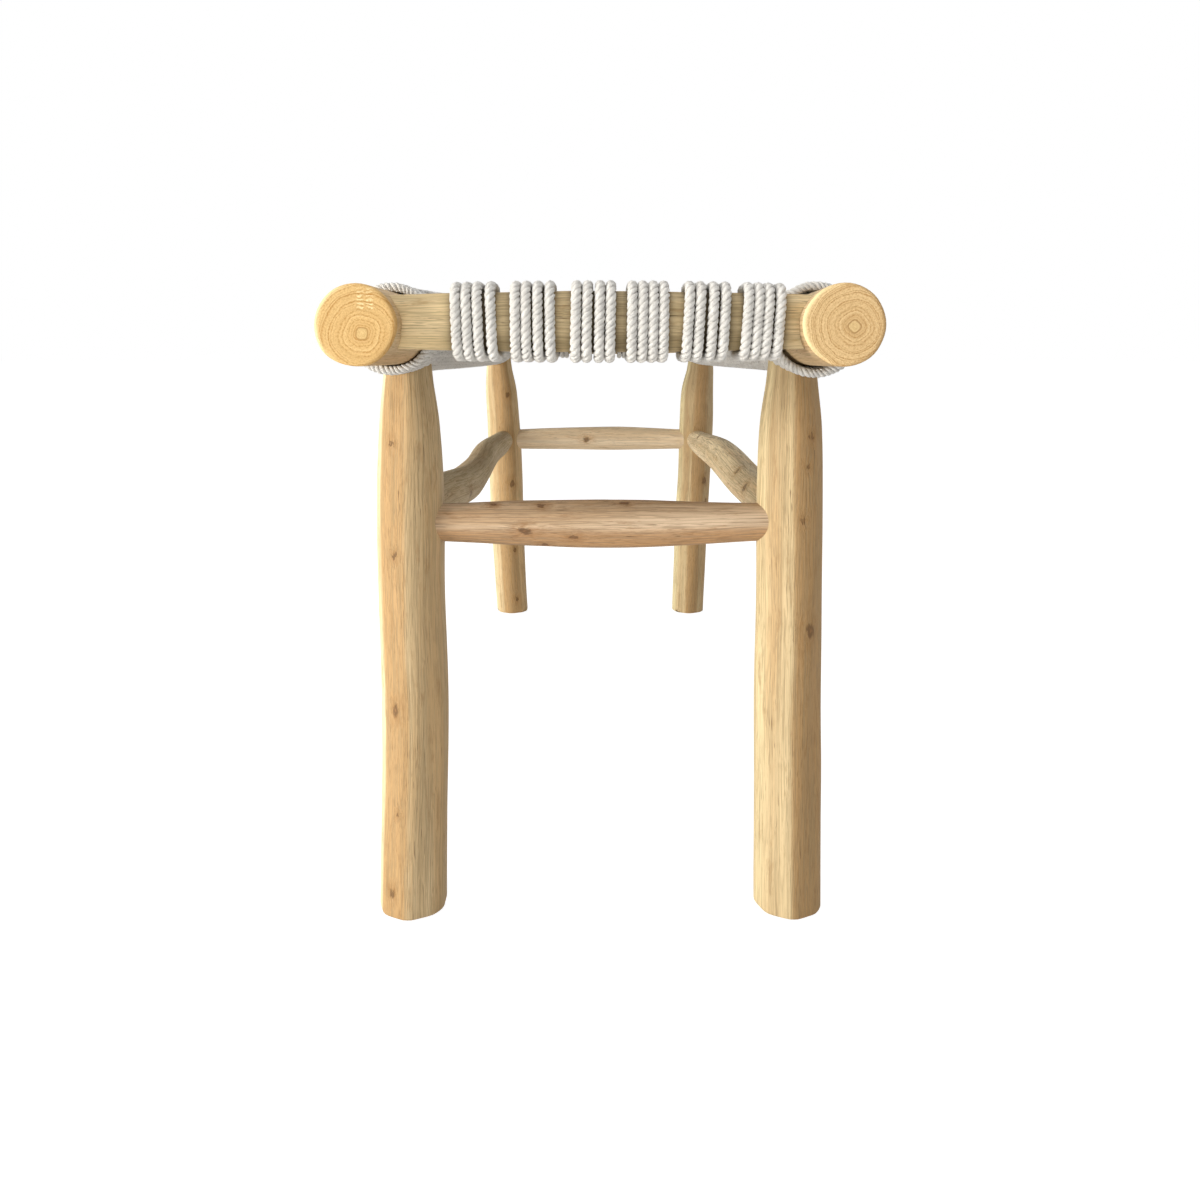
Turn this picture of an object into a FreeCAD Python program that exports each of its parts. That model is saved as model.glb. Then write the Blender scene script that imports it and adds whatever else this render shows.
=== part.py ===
"""Rustic log bench with a rope seat, in millimetres.

+X is right, +Y runs along the bench away from its near end, +Z is up.
The origin is on the floor under the middle of the bench.
"""

import FreeCAD
import Part
import Sketcher
import math
import os

# Driving sizes. Angles are in degrees, everything else is a length or a count.
SIZES = {
    # Side rails: the two long logs whose end grain shows at both ends.
    "bench_length": 1000.0,
    "rail_spacing": 302.0,
    "rail_height": 414.5,
    "rail_radius": 26.0,
    "rail_end_round": 4.0,
    # End rails: hewn logs between the side rails, wound with rope.
    "end_rail_setback": 34.0,
    "end_rail_rise": 3.0,
    "end_rail_depth": 40.0,
    "end_rail_thickness": 39.0,
    "end_rail_tenon_radius": 12.0,
    "end_rail_tenon_length": 24.0,
    # Legs: round tenons in the side rails, splayed along the bench.
    "leg_setback": 158.0,
    "leg_splay": 7.35,
    "leg_lean": 2.07,
    "leg_radius": 24.0,
    "leg_neck_radius": 18.5,
    "leg_neck_length": 12.0,
    "leg_tenon_radius": 13.0,
    "leg_tenon_length": 34.0,
    "leg_shoulder_gap": 2.8,
    "floor_trim": 16.0,
    # Stretchers between the legs.
    "stretcher_height": 268.0,
    "cross_stretcher_radius": 17.5,
    "side_stretcher_radius": 16.0,
    "stretcher_tenon_radius": 13.6,
    "stretcher_tenon_length": 10.0,
    "stretcher_shoulder_gap": 0.6,
    # Rope and what is wound and woven from it.
    "rope_radius": 3.3,
    "rope_turn_gap": 0.8,
    "rope_bend": 9.6,
    "side_wrap_setback": 95.0,
    "seat_drop": 7.4,
    "turns_in_group": 4,
    # Clearances.
    "wood_clearance": 0.3,
    "rope_clearance": 0.3,
    "seat_side_clearance": 0.6,
}

# Where the rope groups lie along the near end rail, from its middle.
GROUP_PLACES = {
    "group_1": -79.8,
    "group_2": -42.6,
    "group_3": -3.5,
    "group_4": 31.0,
    "group_5": 68.4,
    "group_6": 105.0,
}

# Stations of a log: share of its length, then sideways bow, upward bow and radius as shares of its radius.
RIGHT_RAIL_SHARES = [
    (0.0, 0.0, 0.0, 0.92),
    (0.25, 0.02, -0.03, 0.94),
    (0.5, 0.03, 0.0, 0.97),
    (0.75, 0.0, 0.02, 0.99),
    (1.0, 0.0, 0.0, 1.0),
]
LEFT_RAIL_SHARES = [
    (0.0, -0.38, 0.0, 0.92),
    (0.25, -0.16, -0.03, 0.94),
    (0.5, -0.04, 0.0, 0.98),
    (0.75, 0.0, 0.03, 0.99),
    (1.0, 0.0, 0.0, 1.0),
]
LEG_PLACE_SHARES = (0.0, 0.2, 0.4, 0.6, 0.8, 0.92, 1.0)
LEG_BOW_SHARES = {
    "leg_front_left": (0.05, 0.1, 0.16, 0.06, 0.03, 0.06, 0.05),
    "leg_front_right": (0.0, -0.04, -0.07, -0.03, -0.06, -0.06, -0.05),
    "leg_back_left": (-0.01, -0.08, -0.08, 0.02, 0.03, 0.02, -0.06),
    "leg_back_right": (0.02, 0.0, -0.01, 0.02, -0.03, -0.06, 0.04),
}
LEG_GIRTH_SHARES = {
    "leg_front_left": (0.98, 0.98, 0.99, 1.03, 1.02, 0.95, 0.82),
    "leg_front_right": (0.98, 1.03, 1.08, 1.05, 1.04, 0.97, 0.82),
    "leg_back_left": (0.98, 0.99, 1.03, 1.04, 1.01, 0.96, 0.8),
    "leg_back_right": (0.98, 0.98, 1.01, 1.01, 1.05, 0.97, 0.8),
}
CROSS_STRETCHER_SHARES = [
    (0.0, 0.0, 0.0, 0.83),
    (0.3, 0.0, 0.02, 0.97),
    (0.6, 0.04, 0.0, 1.0),
    (1.0, 0.0, 0.0, 0.83),
]
SIDE_STRETCHER_SHARES = [
    (0.0, 0.0, 0.0, 0.9),
    (0.2, 0.35, 0.15, 0.93),
    (0.45, 0.1, 0.25, 1.1),
    (0.7, -0.05, -0.3, 1.1),
    (0.88, 0.1, 0.0, 0.93),
    (1.0, 0.0, 0.0, 0.9),
]

# Worn rim of a side rail: reach along the log and drop of its radius as shares of the rounding.
RIM_SHARES = [(0.0, 0.0), (0.65, 0.25), (1.0, 0.75)]

# Hewn outline of an end rail: outward and upward shares of half its depth and thickness.
END_RAIL_OUTLINE_SHARES = [
    (-1.0, -0.4),
    (-0.45, -1.0),
    (0.6, -1.0),
    (1.0, -0.6),
    (1.0, 0.6),
    (0.6, 1.0),
    (-0.65, 1.0),
    (-1.0, 0.65),
]
END_RAIL_END_DEPTH_SHARE = 0.92
END_RAIL_END_THICKNESS_SHARE = 0.74

ALONG_BENCH = "rotation(0; 0; 90)"
ACROSS_BENCH = "rotation(90; 0; 90)"
ACROSS_BENCH_BACK = "rotation(-90; 0; 90)"
LOG_FLATS = 12
ROPE_SIDES = 6
BEND_KINKS = 2


def make_sheet(doc):
    """Spreadsheet that holds every driving size under its own name."""
    sheet = doc.addObject("Spreadsheet::Sheet", "Sizes")
    for row, (name, value) in enumerate([*SIZES.items(), *GROUP_PLACES.items()], start=1):
        sheet.set(f"A{row}", name)
        sheet.set(f"B{row}", str(value))
        sheet.setAlias(f"B{row}", name)
    doc.recompute()
    return sheet


def sketch_at(body, name, height):
    """Sketch parallel to the body's own base plane at a height given as an expression."""
    sketch = body.newObject("Sketcher::SketchObject", name)
    base_plane = next(f for f in body.Origin.OriginFeatures if f.Role == "XY_Plane")
    sketch.AttachmentSupport = [(base_plane, "")]
    sketch.MapMode = "FlatFace"
    sketch.setExpression("AttachmentOffset.Base.z", height)
    return sketch


def ring_sketch(body, name, height, radius):
    """Circle on the sketch's origin with its radius bound to an expression."""
    sketch = sketch_at(body, name, height)
    circle = Part.Circle(FreeCAD.Vector(0, 0, 0), FreeCAD.Vector(0, 0, 1), SIZES["rope_radius"])
    ring = sketch.addGeometry(circle, False)
    sketch.addConstraint(Sketcher.Constraint("Coincident", ring, 3, -1, 1))
    size = sketch.addConstraint(Sketcher.Constraint("Radius", ring, SIZES["rope_radius"]))
    sketch.setExpression(f"Constraints[{size}]", radius)
    return sketch


def peeled_ring(body, name, height, radius):
    """Regular outline of the flats left by a drawknife, centred on the sketch's origin."""
    sketch = sketch_at(body, name, height)
    turn = FreeCAD.Rotation(FreeCAD.Vector(0, 0, 1), 360 / LOG_FLATS)
    corners = [FreeCAD.Vector(SIZES["rail_radius"], 0, 0)]
    for _ in range(LOG_FLATS - 1):
        corners.append(turn.multVec(corners[-1]))
    for index in range(LOG_FLATS):
        sketch.addGeometry(Part.LineSegment(corners[index], corners[(index + 1) % LOG_FLATS]), False)
    girth = Part.Circle(FreeCAD.Vector(0, 0, 0), FreeCAD.Vector(0, 0, 1), SIZES["rail_radius"])
    circle = sketch.addGeometry(girth, True)
    sketch.addConstraint(Sketcher.Constraint("Coincident", circle, 3, -1, 1))
    for index in range(LOG_FLATS):
        following = (index + 1) % LOG_FLATS
        sketch.addConstraint(Sketcher.Constraint("Coincident", index, 2, following, 1))
        sketch.addConstraint(Sketcher.Constraint("PointOnObject", index, 1, circle))
        if following:
            sketch.addConstraint(Sketcher.Constraint("Equal", index, following))
    sketch.addConstraint(Sketcher.Constraint("PointOnObject", 0, 1, -1))
    size = sketch.addConstraint(Sketcher.Constraint("Radius", circle, SIZES["rail_radius"]))
    sketch.setExpression(f"Constraints[{size}]", radius)
    return sketch


def add_loft(body, sketches):
    """Smooth solid through the sketches."""
    loft = body.newObject("PartDesign::AdditiveLoft", "Trunk")
    loft.Profile = sketches[0]
    loft.Sections = sketches[1:]
    return loft


def add_round_end(body, name, height, radius, length):
    """Round tenon or neck that grows from a height along the body; a negative length grows down."""
    grows_down = length.startswith("-")
    sketch = ring_sketch(body, f"{name}Ring", height, radius)
    pad = body.newObject("PartDesign::Pad", name)
    pad.Profile = sketch
    pad.Reversed = grows_down
    pad.setExpression("Length", length.lstrip("-"))
    return pad


def log_body(doc, label, stations, length, radius, allowance="0"):
    """Peeled log along the body's Z, lofted through the rings at its stations."""
    body = doc.addObject("PartDesign::Body", label)
    rings = []
    for number, (place_share, side_share, rise_share, radius_share) in enumerate(stations):
        ring = peeled_ring(
            body, f"Ring{number}", f"{length} * {place_share}", f"{radius} * {radius_share} + {allowance}"
        )
        ring.setExpression("AttachmentOffset.Base.x", f"{radius} * {side_share}")
        ring.setExpression("AttachmentOffset.Base.y", f"{radius} * {rise_share}")
        rings.append(ring)
    add_loft(body, rings)
    return body


def place(body, base, rotation):
    """Bind a placement to expressions for its base point and rotation."""
    body.setExpression("Placement", f"placement(vector({base}); {rotation})")


def bar(doc, name, radius, length, base, rotation, back_off="0"):
    """Round bar that starts back_off behind the base point, along its own Z."""
    rod = doc.addObject("Part::Cylinder", name)
    rod.setExpression("Radius", radius)
    rod.setExpression("Height", length)
    start = f"placement(vector(0; 0; -({back_off})); rotation(0; 0; 0))"
    rod.setExpression("Placement", f"placement(vector({base}); {rotation}) * {start}")
    return rod


def fused(doc, name, shapes):
    """Union of several objects."""
    union = doc.addObject("Part::MultiFuse", name)
    union.Shapes = shapes
    return union


def cut(doc, label, base, tool):
    """Base with the tool removed."""
    result = doc.addObject("Part::Cut", label)
    result.Base = base
    result.Tool = tool
    return result


# Legs: the axis of each passes through the rail's axis and runs out and in towards the floor.
def leg_x(side, drop):
    """Sideways place of a leg's axis at a drop below the side rail's axis."""
    return f"{side} * (Sizes.rail_spacing / 2 - {drop} * tan(Sizes.leg_lean))"


def leg_y(end, drop):
    """Lengthwise place of a leg's axis at a drop below the side rail's axis."""
    return f"{end} * (Sizes.bench_length / 2 - Sizes.leg_setback + {drop} * tan(Sizes.leg_splay) / cos(Sizes.leg_lean))"


LEGS = {
    "leg_front_left": (-1, -1),
    "leg_front_right": (1, -1),
    "leg_back_left": (-1, 1),
    "leg_back_right": (1, 1),
}
LEG_AXIS_LENGTH = "(Sizes.rail_height / cos(Sizes.leg_lean) / cos(Sizes.leg_splay) + Sizes.floor_trim)"
LEG_SHOULDER = f"({LEG_AXIS_LENGTH} - Sizes.rail_radius - Sizes.leg_shoulder_gap)"
STRETCHER_DROP = "(Sizes.rail_height - Sizes.stretcher_height)"


def leg_seat(name):
    """Base point and rotation of a leg at the axis of its side rail."""
    side, end = LEGS[name]
    base = f"{leg_x(side, '0')}; {leg_y(end, '0')}; Sizes.rail_height"
    return base, f"rotation(0; {side} * Sizes.leg_lean; {end} * Sizes.leg_splay)"


def make_leg_body(doc, name):
    """Peeled leg with its neck and the tenon that enters the side rail."""
    trunk_length = f"({LEG_SHOULDER} - Sizes.leg_neck_length)"
    stations = [
        (place_share, bow_share, -bow_share / 2, girth_share)
        for place_share, bow_share, girth_share in zip(
            LEG_PLACE_SHARES, LEG_BOW_SHARES[name], LEG_GIRTH_SHARES[name]
        )
    ]
    body = log_body(doc, f"{name}_log", stations, trunk_length, "Sizes.leg_radius")
    add_round_end(body, "Neck", trunk_length, "Sizes.leg_neck_radius", "Sizes.leg_neck_length")
    add_round_end(body, "Tenon", LEG_SHOULDER, "Sizes.leg_tenon_radius", "Sizes.leg_tenon_length")
    base, rotation = leg_seat(name)
    down = f"placement(vector(0; 0; -{LEG_AXIS_LENGTH}); rotation(0; 0; 0))"
    body.setExpression("Placement", f"placement(vector({base}); {rotation}) * {down}")
    return body


def make_floor(doc):
    """Block under the floor that trims the feet level."""
    block = doc.addObject("Part::Box", "floor_block")
    block.setExpression("Length", "Sizes.bench_length")
    block.setExpression("Width", "Sizes.bench_length * 2")
    block.setExpression("Height", "Sizes.floor_trim * 4")
    place(block, "-Sizes.bench_length / 2; -Sizes.bench_length; -Sizes.floor_trim * 4", "rotation(0; 0; 0)")
    return block


# Stretchers: round logs with tenons in the legs.
def shoulder_reach(leg_place):
    """Distance from the middle of the bench to a stretcher's shoulder beside a leg."""
    return f"({leg_place} - Sizes.leg_radius - Sizes.stretcher_shoulder_gap)"


def make_stretcher(doc, name, stations, radius, half_span, base, rotation):
    """Stretcher with a tenon at each end, and the bore that its tenons need in the legs."""
    shoulder = shoulder_reach(half_span)
    length = f"(2 * {shoulder})"
    body = log_body(doc, name, stations, length, radius)
    tenon_length = "(Sizes.stretcher_tenon_length + Sizes.stretcher_shoulder_gap)"
    add_round_end(body, "NearTenon", "0", "Sizes.stretcher_tenon_radius", f"-{tenon_length}")
    add_round_end(body, "FarTenon", length, "Sizes.stretcher_tenon_radius", tenon_length)
    place(body, base(shoulder), rotation)
    bore = bar(
        doc,
        f"{name}_bore",
        "Sizes.stretcher_tenon_radius + Sizes.wood_clearance",
        f"{length} + 2 * ({tenon_length} + Sizes.wood_clearance)",
        base(shoulder),
        rotation,
        f"{tenon_length} + Sizes.wood_clearance",
    )
    return body, bore


def make_stretchers(doc):
    """Front, back, left and right stretchers with their bores."""
    half_width = leg_x(1, STRETCHER_DROP)
    half_length = leg_y(1, STRETCHER_DROP)
    made = {}
    for name, end, rotation in (
        ("stretcher_front", -1, ACROSS_BENCH),
        ("stretcher_back", 1, ACROSS_BENCH),
    ):
        lengthwise = leg_y(end, STRETCHER_DROP)
        made[name] = make_stretcher(
            doc, name, CROSS_STRETCHER_SHARES, "Sizes.cross_stretcher_radius", half_width,
            lambda reach, y=lengthwise: f"-{reach}; {y}; Sizes.stretcher_height", rotation,
        )
    for name, side in (("stretcher_left", -1), ("stretcher_right", 1)):
        sideways = leg_x(side, STRETCHER_DROP)
        stations = [(p, -side * s, r, g) for p, s, r, g in SIDE_STRETCHER_SHARES]
        made[name] = make_stretcher(
            doc, name, stations, "Sizes.side_stretcher_radius", half_length,
            lambda reach, x=sideways: f"{x}; {reach}; Sizes.stretcher_height", ALONG_BENCH,
        )
    return made


# Side rails: each log is also made with an allowance for what is fitted round it.
RAIL_TRUNK_LENGTH = "(Sizes.bench_length - 2 * Sizes.rail_end_round)"


def rail_stations(side):
    """Stations of the left or the right side rail, from its far end."""
    return LEFT_RAIL_SHARES if side < 0 else RIGHT_RAIL_SHARES


def rail_log(doc, name, side, allowance="0"):
    """Side rail without its worn rims, or the same log grown by an allowance."""
    body = log_body(doc, name, rail_stations(side), RAIL_TRUNK_LENGTH, "Sizes.rail_radius", allowance)
    place(body, f"{side} * Sizes.rail_spacing / 2; {RAIL_TRUNK_LENGTH} / 2; Sizes.rail_height", ALONG_BENCH)
    return body


def add_worn_rims(body, stations):
    """Worn round on the rims of both end discs, as two bevels at each end."""
    ends = (("Far", stations[0], "0", -1), ("Near", stations[-1], RAIL_TRUNK_LENGTH, 1))
    for name, (_, side_share, rise_share, girth_share), height, way in ends:
        rings = []
        for step, (reach_share, drop_share) in enumerate(RIM_SHARES):
            ring = peeled_ring(
                body,
                f"{name}Rim{step}",
                f"{height} + {way * reach_share} * Sizes.rail_end_round",
                f"Sizes.rail_radius * {girth_share} - Sizes.rail_end_round * {drop_share}",
            )
            ring.setExpression("AttachmentOffset.Base.x", f"Sizes.rail_radius * {side_share}")
            ring.setExpression("AttachmentOffset.Base.y", f"Sizes.rail_radius * {rise_share}")
            rings.append(ring)
        rim = add_loft(body, rings)
        rim.Ruled = True


def make_end_rail(doc, name, end, grown_rails):
    """Hewn end rail, scribed round both side rails, with a tenon at each end."""
    body = doc.addObject("PartDesign::Body", f"{name}_hewn")
    sections = []
    for number, (place_share, depth_share, thickness_share) in enumerate(
        (
            (0.0, END_RAIL_END_DEPTH_SHARE, END_RAIL_END_THICKNESS_SHARE),
            (0.5, 1.0, 1.0),
            (1.0, END_RAIL_END_DEPTH_SHARE, END_RAIL_END_THICKNESS_SHARE),
        )
    ):
        sketch = sketch_at(body, f"Outline{number}", f"Sizes.rail_spacing * {place_share}")
        corners = [
            FreeCAD.Vector(
                out_share * SIZES["end_rail_depth"] / 2,
                up_share * SIZES["end_rail_thickness"] / 2,
                0,
            )
            for out_share, up_share in END_RAIL_OUTLINE_SHARES
        ]
        count = len(corners)
        for index in range(count):
            sketch.addGeometry(Part.LineSegment(corners[index], corners[(index + 1) % count]), False)
        for index in range(count):
            sketch.addConstraint(Sketcher.Constraint("Coincident", index, 2, (index + 1) % count, 1))
        for index, (out_share, up_share) in enumerate(END_RAIL_OUTLINE_SHARES):
            along = sketch.addConstraint(
                Sketcher.Constraint("DistanceX", -1, 1, index, 1, corners[index].x)
            )
            rise = sketch.addConstraint(
                Sketcher.Constraint("DistanceY", -1, 1, index, 1, corners[index].y)
            )
            depth = f"Sizes.end_rail_depth / 2 * {depth_share} * {out_share}"
            thickness = f"Sizes.end_rail_thickness / 2 * {thickness_share} * {up_share}"
            sketch.setExpression(f"Constraints[{along}]", depth)
            sketch.setExpression(f"Constraints[{rise}]", thickness)
        sections.append(sketch)
    add_loft(body, sections)
    lengthwise = f"{end} * (Sizes.bench_length / 2 - Sizes.end_rail_setback)"
    height = "Sizes.rail_height + Sizes.end_rail_rise"
    rotation = ACROSS_BENCH if end < 0 else ACROSS_BENCH_BACK
    place(body, f"{end} * Sizes.rail_spacing / 2; {lengthwise}; {height}", rotation)
    scribed = cut(doc, f"{name}_scribed", body, grown_rails)
    tenon_reach = "(Sizes.rail_spacing / 2 - Sizes.rail_radius + Sizes.end_rail_tenon_length)"
    base = f"{end} * {tenon_reach}; {lengthwise}; {height}"
    tenons = bar(doc, f"{name}_tenons", "Sizes.end_rail_tenon_radius", f"2 * {tenon_reach}", base, rotation)
    bore = bar(
        doc,
        f"{name}_bore",
        "Sizes.end_rail_tenon_radius + Sizes.wood_clearance",
        f"2 * ({tenon_reach} + Sizes.wood_clearance)",
        base,
        rotation,
        "Sizes.wood_clearance",
    )
    return fused(doc, name, [scribed, tenons]), bore


# Rope: one unbroken tube with a faceted round section, mitred where it turns.
def grown_share(end_share, place, half_span):
    """Share of a middle size left at a place along a member that thins towards its ends."""
    return 1 - (1 - end_share) * (place / half_span) ** 2


def winding_path(sheet, place):
    """Corners of one unbroken rope: in from the seat, round the end rail, and back to the seat."""
    radius = sheet.rope_radius
    pitch = 2 * radius + sheet.rope_turn_gap
    width = pitch * sheet.turns_in_group
    nearest = max(abs(place) - width / 2, 0)
    half_span = sheet.rail_spacing / 2
    depth_share = grown_share(END_RAIL_END_DEPTH_SHARE, nearest, half_span)
    thickness_share = grown_share(END_RAIL_END_THICKNESS_SHARE, nearest, half_span)
    out = sheet.end_rail_depth / 2 * depth_share + sheet.rope_clearance + radius
    up = sheet.end_rail_thickness / 2 * thickness_share + sheet.rope_clearance + radius
    bend = sheet.rope_bend
    kink = math.pi / 2 / BEND_KINKS
    reach = bend / math.cos(kink / 2)
    angles = [kink * (step + 0.5) for step in range(BEND_KINKS)]
    quarter = [(reach * math.sin(angle), reach * math.cos(angle)) for angle in angles]
    outline = [(-(out - bend) - y, up - bend + z) for y, z in quarter]
    outline += [(-(out - bend) - y, -(up - bend) - z) for y, z in reversed(quarter)]
    outline += [(out - bend + y, -(up - bend) - z) for y, z in quarter]
    outline += [(out - bend + y, up - bend + z) for y, z in reversed(quarter)]
    turn = outline * int(sheet.turns_in_group)
    # The last bend goes the other way, back to the seat at the level that the rope came from.
    turn = turn[:-BEND_KINKS] + [(out + bend - y, up - bend + z) for y, z in reversed(quarter)]
    lead = out + bend + 2 * radius
    loop = sum(math.dist(a, b) for a, b in zip(outline, outline[1:] + outline[:1]))
    first_x = place - width / 2
    corners = [FreeCAD.Vector(first_x, lead, up)]
    walked = 0
    for here, ahead in zip(turn, turn[1:] + turn[-1:]):
        corners.append(FreeCAD.Vector(first_x + pitch * walked / loop, *here))
        # The climb that the straight run from the seat leaves out is made up at the first corner.
        left_out = 0 if walked else math.dist(outline[-1], outline[0])
        walked += math.dist(here, ahead) + left_out
    corners.append(FreeCAD.Vector(corners[-1].x, lead, up))
    return corners, lead


def least_gap(corners, radius):
    """Least space between neighbouring turns, measured on points along the rope's centre."""
    points = []
    walked = 0
    for begin, end in zip(corners, corners[1:]):
        run = (end - begin).Length
        count = math.ceil(run / (radius / 2))
        for index in range(count):
            points.append((walked + run * index / count, begin + (end - begin) * (index / count)))
        walked += run
    apart = radius * 6
    nearest = min(
        (p - q).Length
        for number, (at_p, p) in enumerate(points)
        for at_q, q in points[number + 1:]
        if at_q - at_p > apart
    )
    return nearest - 2 * radius


def sweep_rope(corners, radius):
    """Tube with a faceted round section along straight runs, mitred at each corner."""
    way = (corners[1] - corners[0]).normalize()
    across = FreeCAD.Vector(1, 0, 0)
    over = way.cross(across)
    rim = []
    for index in range(ROPE_SIDES + 1):
        angle = 2 * math.pi * index / ROPE_SIDES
        rim.append(corners[0] + across * (radius * math.cos(angle)) + over * (radius * math.sin(angle)))
    mitred = 1
    return Part.makePolygon(corners).makePipeShell([Part.makePolygon(rim)], True, False, mitred)


def make_windings(doc, sheet):
    """Twelve windings: six groups on the near end rail, and the same six turned about for the far one."""
    seat_reach = 0
    windings = []
    for number, group in enumerate(GROUP_PLACES, start=1):
        corners, lead = winding_path(sheet, getattr(sheet, group))
        shape = sweep_rope(corners, sheet.rope_radius)
        length = sum((end - begin).Length for begin, end in zip(corners, corners[1:]))
        section = ROPE_SIDES / 2 * sheet.rope_radius ** 2 * math.sin(2 * math.pi / ROPE_SIDES)
        gap = least_gap(corners, sheet.rope_radius)
        print(f"winding {number}: gap {gap:.2f} mm, volume ratio {shape.Volume / (section * length):.4f}")
        seat_reach = max(seat_reach, lead)
        for end, label in ((-1, f"winding_front_{number}"), (1, f"winding_back_{number}")):
            winding = doc.addObject("Part::Feature", label)
            winding.Shape = shape
            turn = FreeCAD.Rotation(FreeCAD.Vector(0, 0, 1), 0 if end < 0 else 180)
            base = FreeCAD.Vector(
                0,
                end * (sheet.bench_length / 2 - sheet.end_rail_setback),
                sheet.rail_height + sheet.end_rail_rise,
            )
            winding.Placement = FreeCAD.Placement(base, turn)
            windings.append(winding)
    return windings, seat_reach


def rail_centre(sheet, stations, side, y):
    """Centre and radius of a side rail's log at a place along the bench."""
    share = 0.5 - y / (sheet.bench_length - 2 * sheet.rail_end_round)
    for (p0, s0, r0, g0), (p1, s1, r1, g1) in zip(stations, stations[1:]):
        if share <= p1:
            break
    part = (share - p0) / (p1 - p0)
    unit = sheet.rail_radius
    x = side * sheet.rail_spacing / 2 + unit * (s0 + (s1 - s0) * part)
    z = sheet.rail_height + unit * (r0 + (r1 - r0) * part)
    return x, z, unit * (g0 + (g1 - g0) * part)


def seat_side(sheet, side, y, level):
    """Inner face of the seat beside a wound side rail, at one level."""
    x, z, radius = rail_centre(sheet, rail_stations(side), side, y)
    reach = radius + 2 * sheet.rope_radius + sheet.rope_clearance + sheet.seat_side_clearance
    return x - side * math.sqrt(reach ** 2 - (level - z) ** 2)


def seat_section(sheet, y):
    """Closed outline of the seat, three ropes thick and hollowed at its sides round the wound rails."""
    middle = sheet.rail_height + sheet.rail_radius - sheet.seat_drop
    levels = (middle - 3 * sheet.rope_radius, middle, middle + 3 * sheet.rope_radius)
    left = [FreeCAD.Vector(seat_side(sheet, -1, y, level), y, level) for level in levels]
    right = [FreeCAD.Vector(seat_side(sheet, 1, y, level), y, level) for level in levels]
    return Part.makePolygon([*left, *reversed(right), left[0]])


def make_seat(doc, sheet, seat_reach):
    """Woven panel between the side rails, with a tongue of lengthwise ropes to each winding."""
    half_panel = sheet.bench_length / 2 - sheet.side_wrap_setback
    places = [half_panel * share for share in (-1.0, -0.5, 0.0, 0.5, 1.0)]
    panel = Part.makeLoft([seat_section(sheet, y) for y in places], True, True)
    tongue_end = sheet.bench_length / 2 - sheet.end_rail_setback - seat_reach - sheet.rope_clearance
    width = (2 * sheet.rope_radius + sheet.rope_turn_gap) * sheet.turns_in_group + sheet.rope_radius
    tongues = []
    for group in GROUP_PLACES:
        middle = getattr(sheet, group)
        nearest = max(abs(middle) - width / 2, 0)
        share = grown_share(END_RAIL_END_THICKNESS_SHARE, nearest, sheet.rail_spacing / 2)
        level = sheet.rail_height + sheet.end_rail_rise + sheet.end_rail_thickness / 2 * share
        for end in (-1, 1):
            corner = FreeCAD.Vector(
                -end * middle - width / 2,
                min(end * tongue_end, 0),
                level + sheet.rope_clearance,
            )
            tongues.append(Part.makeBox(width, tongue_end, 2 * sheet.rope_radius, corner))
    seat = doc.addObject("Part::Feature", "woven_seat")
    seat.Shape = panel.multiFuse(tongues).removeSplitter()
    return seat


def make_side_wrap(doc, name, side, span, leg_necks):
    """Sleeve of rope turns round a side rail, open below where the legs enter."""
    rope = "(Sizes.rope_clearance + 2 * Sizes.rope_radius)"
    wound = rail_log(doc, f"{name}_outer", side, rope)
    bare = rail_log(doc, f"{name}_inner", side, "Sizes.rope_clearance")
    wound_span = doc.addObject("Part::Common", f"{name}_span")
    wound_span.Base = wound
    wound_span.Tool = span
    return cut(doc, name, wound_span, fused(doc, f"{name}_void", [bare, *leg_necks]))


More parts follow.
